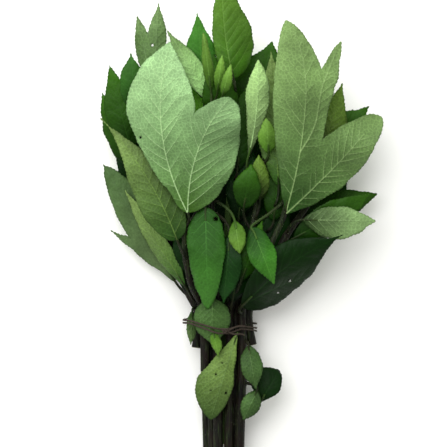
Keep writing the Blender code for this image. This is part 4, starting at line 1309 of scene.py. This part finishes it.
class LeafSettings(bpy.types.PropertyGroup):
    """Sizes of the leaf blades."""

    thickness: FloatProperty(
        name="Thickness", description="Leaf blade between its veins", default=0.0004, unit="LENGTH")
    tooth_pitch: FloatProperty(
        name="Tooth pitch", description="Distance from tooth to tooth along the edge", default=0.003,
        unit="LENGTH")
    tooth_depth: FloatProperty(
        name="Tooth depth", description="How far a tooth stands out of the edge", default=0.00042,
        unit="LENGTH")
    vein_height: FloatProperty(
        name="Vein height", description="How far a vein stands out, as a share of half its width",
        default=0.8, subtype="FACTOR")
    crinkle: FloatProperty(
        name="Crinkle", description="How far the blade leaves its smooth surface", default=0.00045,
        unit="LENGTH")


class StemSettings(bpy.types.PropertyGroup):
    """Sizes and colours of the stems and petioles."""

    ribs: IntProperty(name="Ribs", description="Shallow ribs round a stem", default=7)
    rib_depth: FloatProperty(
        name="Rib depth", description="Depth of a rib as a share of the radius", default=0.035,
        subtype="FACTOR")
    hair_length: FloatProperty(
        name="Hair length", description="Length of the short hairs", default=0.0007, unit="LENGTH")
    hair_density: FloatProperty(
        name="Hair density", description="Hairs on a square metre of skin", default=60000.0)
    bark_dark: FloatVectorProperty(
        name="Dark skin", description="Darkest stem skin", default=linear("050603"), size=3,
        subtype="COLOR")
    bark_light: FloatVectorProperty(
        name="Light skin", description="Streaks of the stem skin", default=linear("2c3a1c"), size=3,
        subtype="COLOR")
    maroon: FloatVectorProperty(
        name="Maroon", description="Red blush of the stem skin", default=linear("1e0e0a"), size=3,
        subtype="COLOR")
    young_green: FloatVectorProperty(
        name="Young green", description="Skin of a young stalk", default=linear("3c5c20"), size=3,
        subtype="COLOR")


class TieSettings(bpy.types.PropertyGroup):
    """Sizes of the tie."""

    ply_radius: FloatProperty(
        name="Ply radius", description="Radius of each of the three plies", default=0.00036, unit="LENGTH")
    twist_length: FloatProperty(
        name="Twist length", description="Length of strand in which a ply goes once round", default=0.006,
        unit="LENGTH")


class StageSettings(bpy.types.PropertyGroup):
    """Floor, camera and lights."""

    camera_height: FloatProperty(
        name="Camera height", description="Height of the camera above the floor", default=3.0, unit="LENGTH")
    frame_width: FloatProperty(
        name="Frame width", description="Width that the camera sees at the middle of the bunch",
        default=0.3576, unit="LENGTH")
    key_power: FloatProperty(name="Key light", description="Power of the key light in watts", default=25.0)
    sky_level: FloatProperty(
        name="Sky level", description="Brightness of the light from all round", default=0.78)


# Operators


class SORREL_OT_shoots(bpy.types.Operator):
    """Make the thirteen leafy shoots, each as one piece, in place of their plain solids."""

    bl_idname = "sorrel.make_shoots"
    bl_label = "Leafy shoots"

    def execute(self, context):
        leaves, stems = context.scene.sorrel_leaves, context.scene.sorrel_stems
        # Roselle leaf underside: matte and paler, with pale raised veins
        under = leaf_material("roselle_leaf_underside", 0.5, 0.12, 1.6, 0.3)
        # Roselle leaf upper side: deeper green with a thin waxy gloss, veins sunk
        upper = leaf_material("roselle_leaf_upper_side", 0.4, 0.07, -1.0, 0.1)
        skin = stalk_material(stems)
        # Short plant hairs: pale, dry and matte
        hair = plain_material("plant_hair_pale", "8f9a72", 0.6, 1.11, 0.9, 1.1)
        # Fresh cut pith: pale cream-green, matte and a little uneven
        pith = plain_material("cut_stem_pith", "c9cda6", 0.7, 1.43, 0.7, 1.1)
        tree = stalk_tree()
        pile = Pile()
        seed = 0
        for shoot in SHOOTS:
            (line, radii), stalks, laid = lay_shoot(shoot, pile, seed)
            blades = [fine_blade(one, leaves) for one in laid]
            parts = [blades_object(shoot.name + "_blades", blades, (under, upper))]
            swept = fine_stalks(shoot, line, radii, stalks, laid)
            values = {"Sides": STALK_SIDES, "Ribs": stems.ribs, "Rib depth": stems.rib_depth,
                      "Hair density": stems.hair_density, "Hair length": stems.hair_length,
                      "Seed": seed + 1, "Skin": skin, "Hair": hair}
            parts.append(pressed(grown(lines_object(shoot.name + "_stalks", swept), tree, values)))
            parts.append(cut_end(shoot.name + "_cut", swept[0].line, swept[0].radii[0], pith))
            piece = joined("leafy_" + shoot.name, parts)
            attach(piece, "root")
            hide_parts(shoot.name)
            seed += len(shoot.under) + len(shoot.over)
        return {"FINISHED"}


def crossings(obj, y):
    """Where an object's surface crosses the plane at y, in plan x and z."""
    made = []
    spots = [corner.co / MM + CENTRE for corner in obj.data.vertices]
    for edge in obj.data.edges:
        start, end = (spots[i] for i in edge.vertices)
        if (start.y - y) * (end.y - y) < 0:
            spot = start.lerp(end, (y - start.y) / (end.y - start.y))
            made.append((spot.x, spot.z))
    return made


def sag_at(x):
    """How far the slack windings hang from their straight run, across the bunch."""
    return np.interp(x, *zip(*SAG))


def strand_lines():
    """The strand's two slack windings, its knot and its two ends."""
    held = []
    for shoot in SHOOTS:
        for step in (-4, 0, 4):
            held += crossings(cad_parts[shoot.name], TIE_Y + step)
    reach = STRAND_RADIUS + STRAND_GAP
    ring = [(math.cos(a) * reach, math.sin(a) * reach) for a in np.linspace(0, 2 * math.pi, 13)[:-1]]
    spread = [Vector((x + dx, z + dz)) for x, z in held for dx, dz in ring]
    hull = [spread[i] for i in convex_hull_2d(spread)]
    first = max(range(len(hull)), key=lambda i: hull[i].x)
    loop = np.array([tuple(p) for p in hull[first:] + hull[:first + 1]])
    far = run_along(loop)
    marks = np.arange(0, STRAND_TURNS * far[-1] + 0.01, STRAND_STEP)
    x = np.interp(marks % far[-1], far, loop[:, 0])
    z = np.interp(marks % far[-1], far, loop[:, 1])
    turn = marks / far[-1]
    y = TIE_Y + STRAND_PITCH * (turn - STRAND_TURNS / 2) + sag_at(x) + 0.45 * np.sin(17 * turn)
    made = [smooth_path(np.column_stack([x, y, z]), STRAND_FINE_STEP)]
    top = loop[loop[:, 1] > loop[:, 1].mean()]
    top = top[np.argsort(top[:, 0])]
    knot_at = np.array([KNOT_X, TIE_Y + sag_at(KNOT_X), np.interp(KNOT_X, top[:, 0], top[:, 1]) + 1.5])
    t = np.linspace(0, 2 * math.pi, 60)
    trefoil = np.stack([np.sin(t) + 2 * np.sin(2 * t), np.cos(t) - 2 * np.cos(2 * t), -np.sin(3 * t)], 1)
    made.append(knot_at + trefoil * KNOT_HALF)
    for drift, lift in TAIL_DRIFTS:
        share = np.linspace(0, 1, 9)
        x = KNOT_X + (top[-1, 0] - 2 - KNOT_X) * share
        y = knot_at[1] + drift * share ** 0.8 + 0.7 * np.sin(7 * share + drift)
        z = np.interp(x, top[:, 0], top[:, 1]) + lift + 0.9
        made.append(smooth_path(np.column_stack([x, y, z]), STRAND_FINE_STEP))
    return made


class SORREL_OT_tie(bpy.types.Operator):
    """Make the twisted fibre strand that holds the shoots together."""

    bl_idname = "sorrel.make_tie"
    bl_label = "Tie"

    def execute(self, context):
        tie = context.scene.sorrel_tie
        # Retted bark fibre, hand twisted: dull dark brown
        fibre = plain_material("bark_fibre_twisted", "362b20", 0.85, 0.714, 0.55, 1.25)
        lines = [Stalk(line, np.ones(len(line)), np.ones(len(line))) for line in strand_lines()]
        source = lines_object("twisted_tie", lines)
        values = {"Plies": PLIES, "Ply offset": tie.ply_radius * PLY_OFFSET, "Ply radius": tie.ply_radius,
                  "Twist length": tie.twist_length, "Fibre density": FIBRE_DENSITY, "Fibre": fibre,
                  "Seed": 7}
        piece = pressed(grown(source, strand_tree(), values))
        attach(piece, "root")
        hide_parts("tie_strand")
        return {"FINISHED"}


class SORREL_OT_stage(bpy.types.Operator):
    """Make the floor, the lights and the camera that looks down on the bunch."""

    bl_idname = "sorrel.make_stage"
    bl_label = "Stage"

    def execute(self, context):
        stage = context.scene.sorrel_stage
        mesh = bpy.data.meshes.new("floor")
        corners = [(x * FLOOR_HALF, y * FLOOR_HALF, 0) for x, y in ((-1, -1), (1, -1), (1, 1), (-1, 1))]
        mesh.from_pydata(corners, [], [(0, 1, 2, 3)])
        # Matt white board, so plain that only the soft shadow shows on it
        mesh.materials.append(plain_material("floor_matt_white", "f8f8f6", 0.9, 333.0, 0.99, 1.0))
        floor = placed("floor", mesh)
        world = bpy.data.worlds.new("studio")
        world.use_nodes = True
        sky = world.node_tree.nodes["Background"]
        sky.inputs["Color"].default_value = (*linear("fffffb"), 1.0)
        sky.inputs["Strength"].default_value = stage.sky_level
        context.scene.world = world
        light = bpy.data.lights.new("key", "AREA")
        light.shape = "DISK"
        light.size = KEY_SIZE
        light.energy = stage.key_power
        lamp = placed("key", light)
        lamp.location = KEY_SPOT
        lamp.rotation_euler = (KEY_TARGET - KEY_SPOT).to_track_quat("-Z", "Y").to_euler()
        lens = bpy.data.cameras.new("camera")
        lens.sensor_width = SENSOR_WIDTH
        lens.lens = SENSOR_WIDTH * (stage.camera_height - BUNCH_MIDDLE) / stage.frame_width
        lens.clip_end = 20.0
        camera = placed("camera", lens)
        camera.location = (*(-CENTRE.xy * MM), stage.camera_height)
        context.scene.camera = camera
        context.scene.view_settings.view_transform = "Standard"
        return {"FINISHED"}


class SORREL_PT_bunch(bpy.types.Panel):
    """The bunch's operators and settings."""

    bl_idname = "SORREL_PT_bunch"
    bl_label = "Sorrel bunch"
    bl_space_type = "VIEW_3D"
    bl_region_type = "UI"
    bl_category = "Sorrel"

    def draw(self, context):
        column = self.layout.column()
        for operator in OPERATORS:
            column.operator(operator.bl_idname)
        for group in GROUPS:
            column.separator()
            for name in group.__annotations__:
                column.prop(getattr(context.scene, GROUPS[group]), name)


GROUPS = {LeafSettings: "sorrel_leaves", StemSettings: "sorrel_stems", TieSettings: "sorrel_tie",
          StageSettings: "sorrel_stage"}
OPERATORS = (SORREL_OT_shoots, SORREL_OT_tie, SORREL_OT_stage)


def register():
    for group, name in GROUPS.items():
        bpy.utils.register_class(group)
        setattr(bpy.types.Scene, name, PointerProperty(type=group))
    for made in (*OPERATORS, SORREL_PT_bunch):
        bpy.utils.register_class(made)


def unregister():
    for made in (SORREL_PT_bunch, *reversed(OPERATORS)):
        bpy.utils.unregister_class(made)
    for group, name in GROUPS.items():
        delattr(bpy.types.Scene, name)
        bpy.utils.unregister_class(group)


def main():
    register()
    bpy.ops.sorrel.make_shoots()
    bpy.ops.sorrel.make_tie()
    bpy.ops.sorrel.make_stage()
    bpy.context.view_layer.update()


if __name__ == "__main__":
    main()
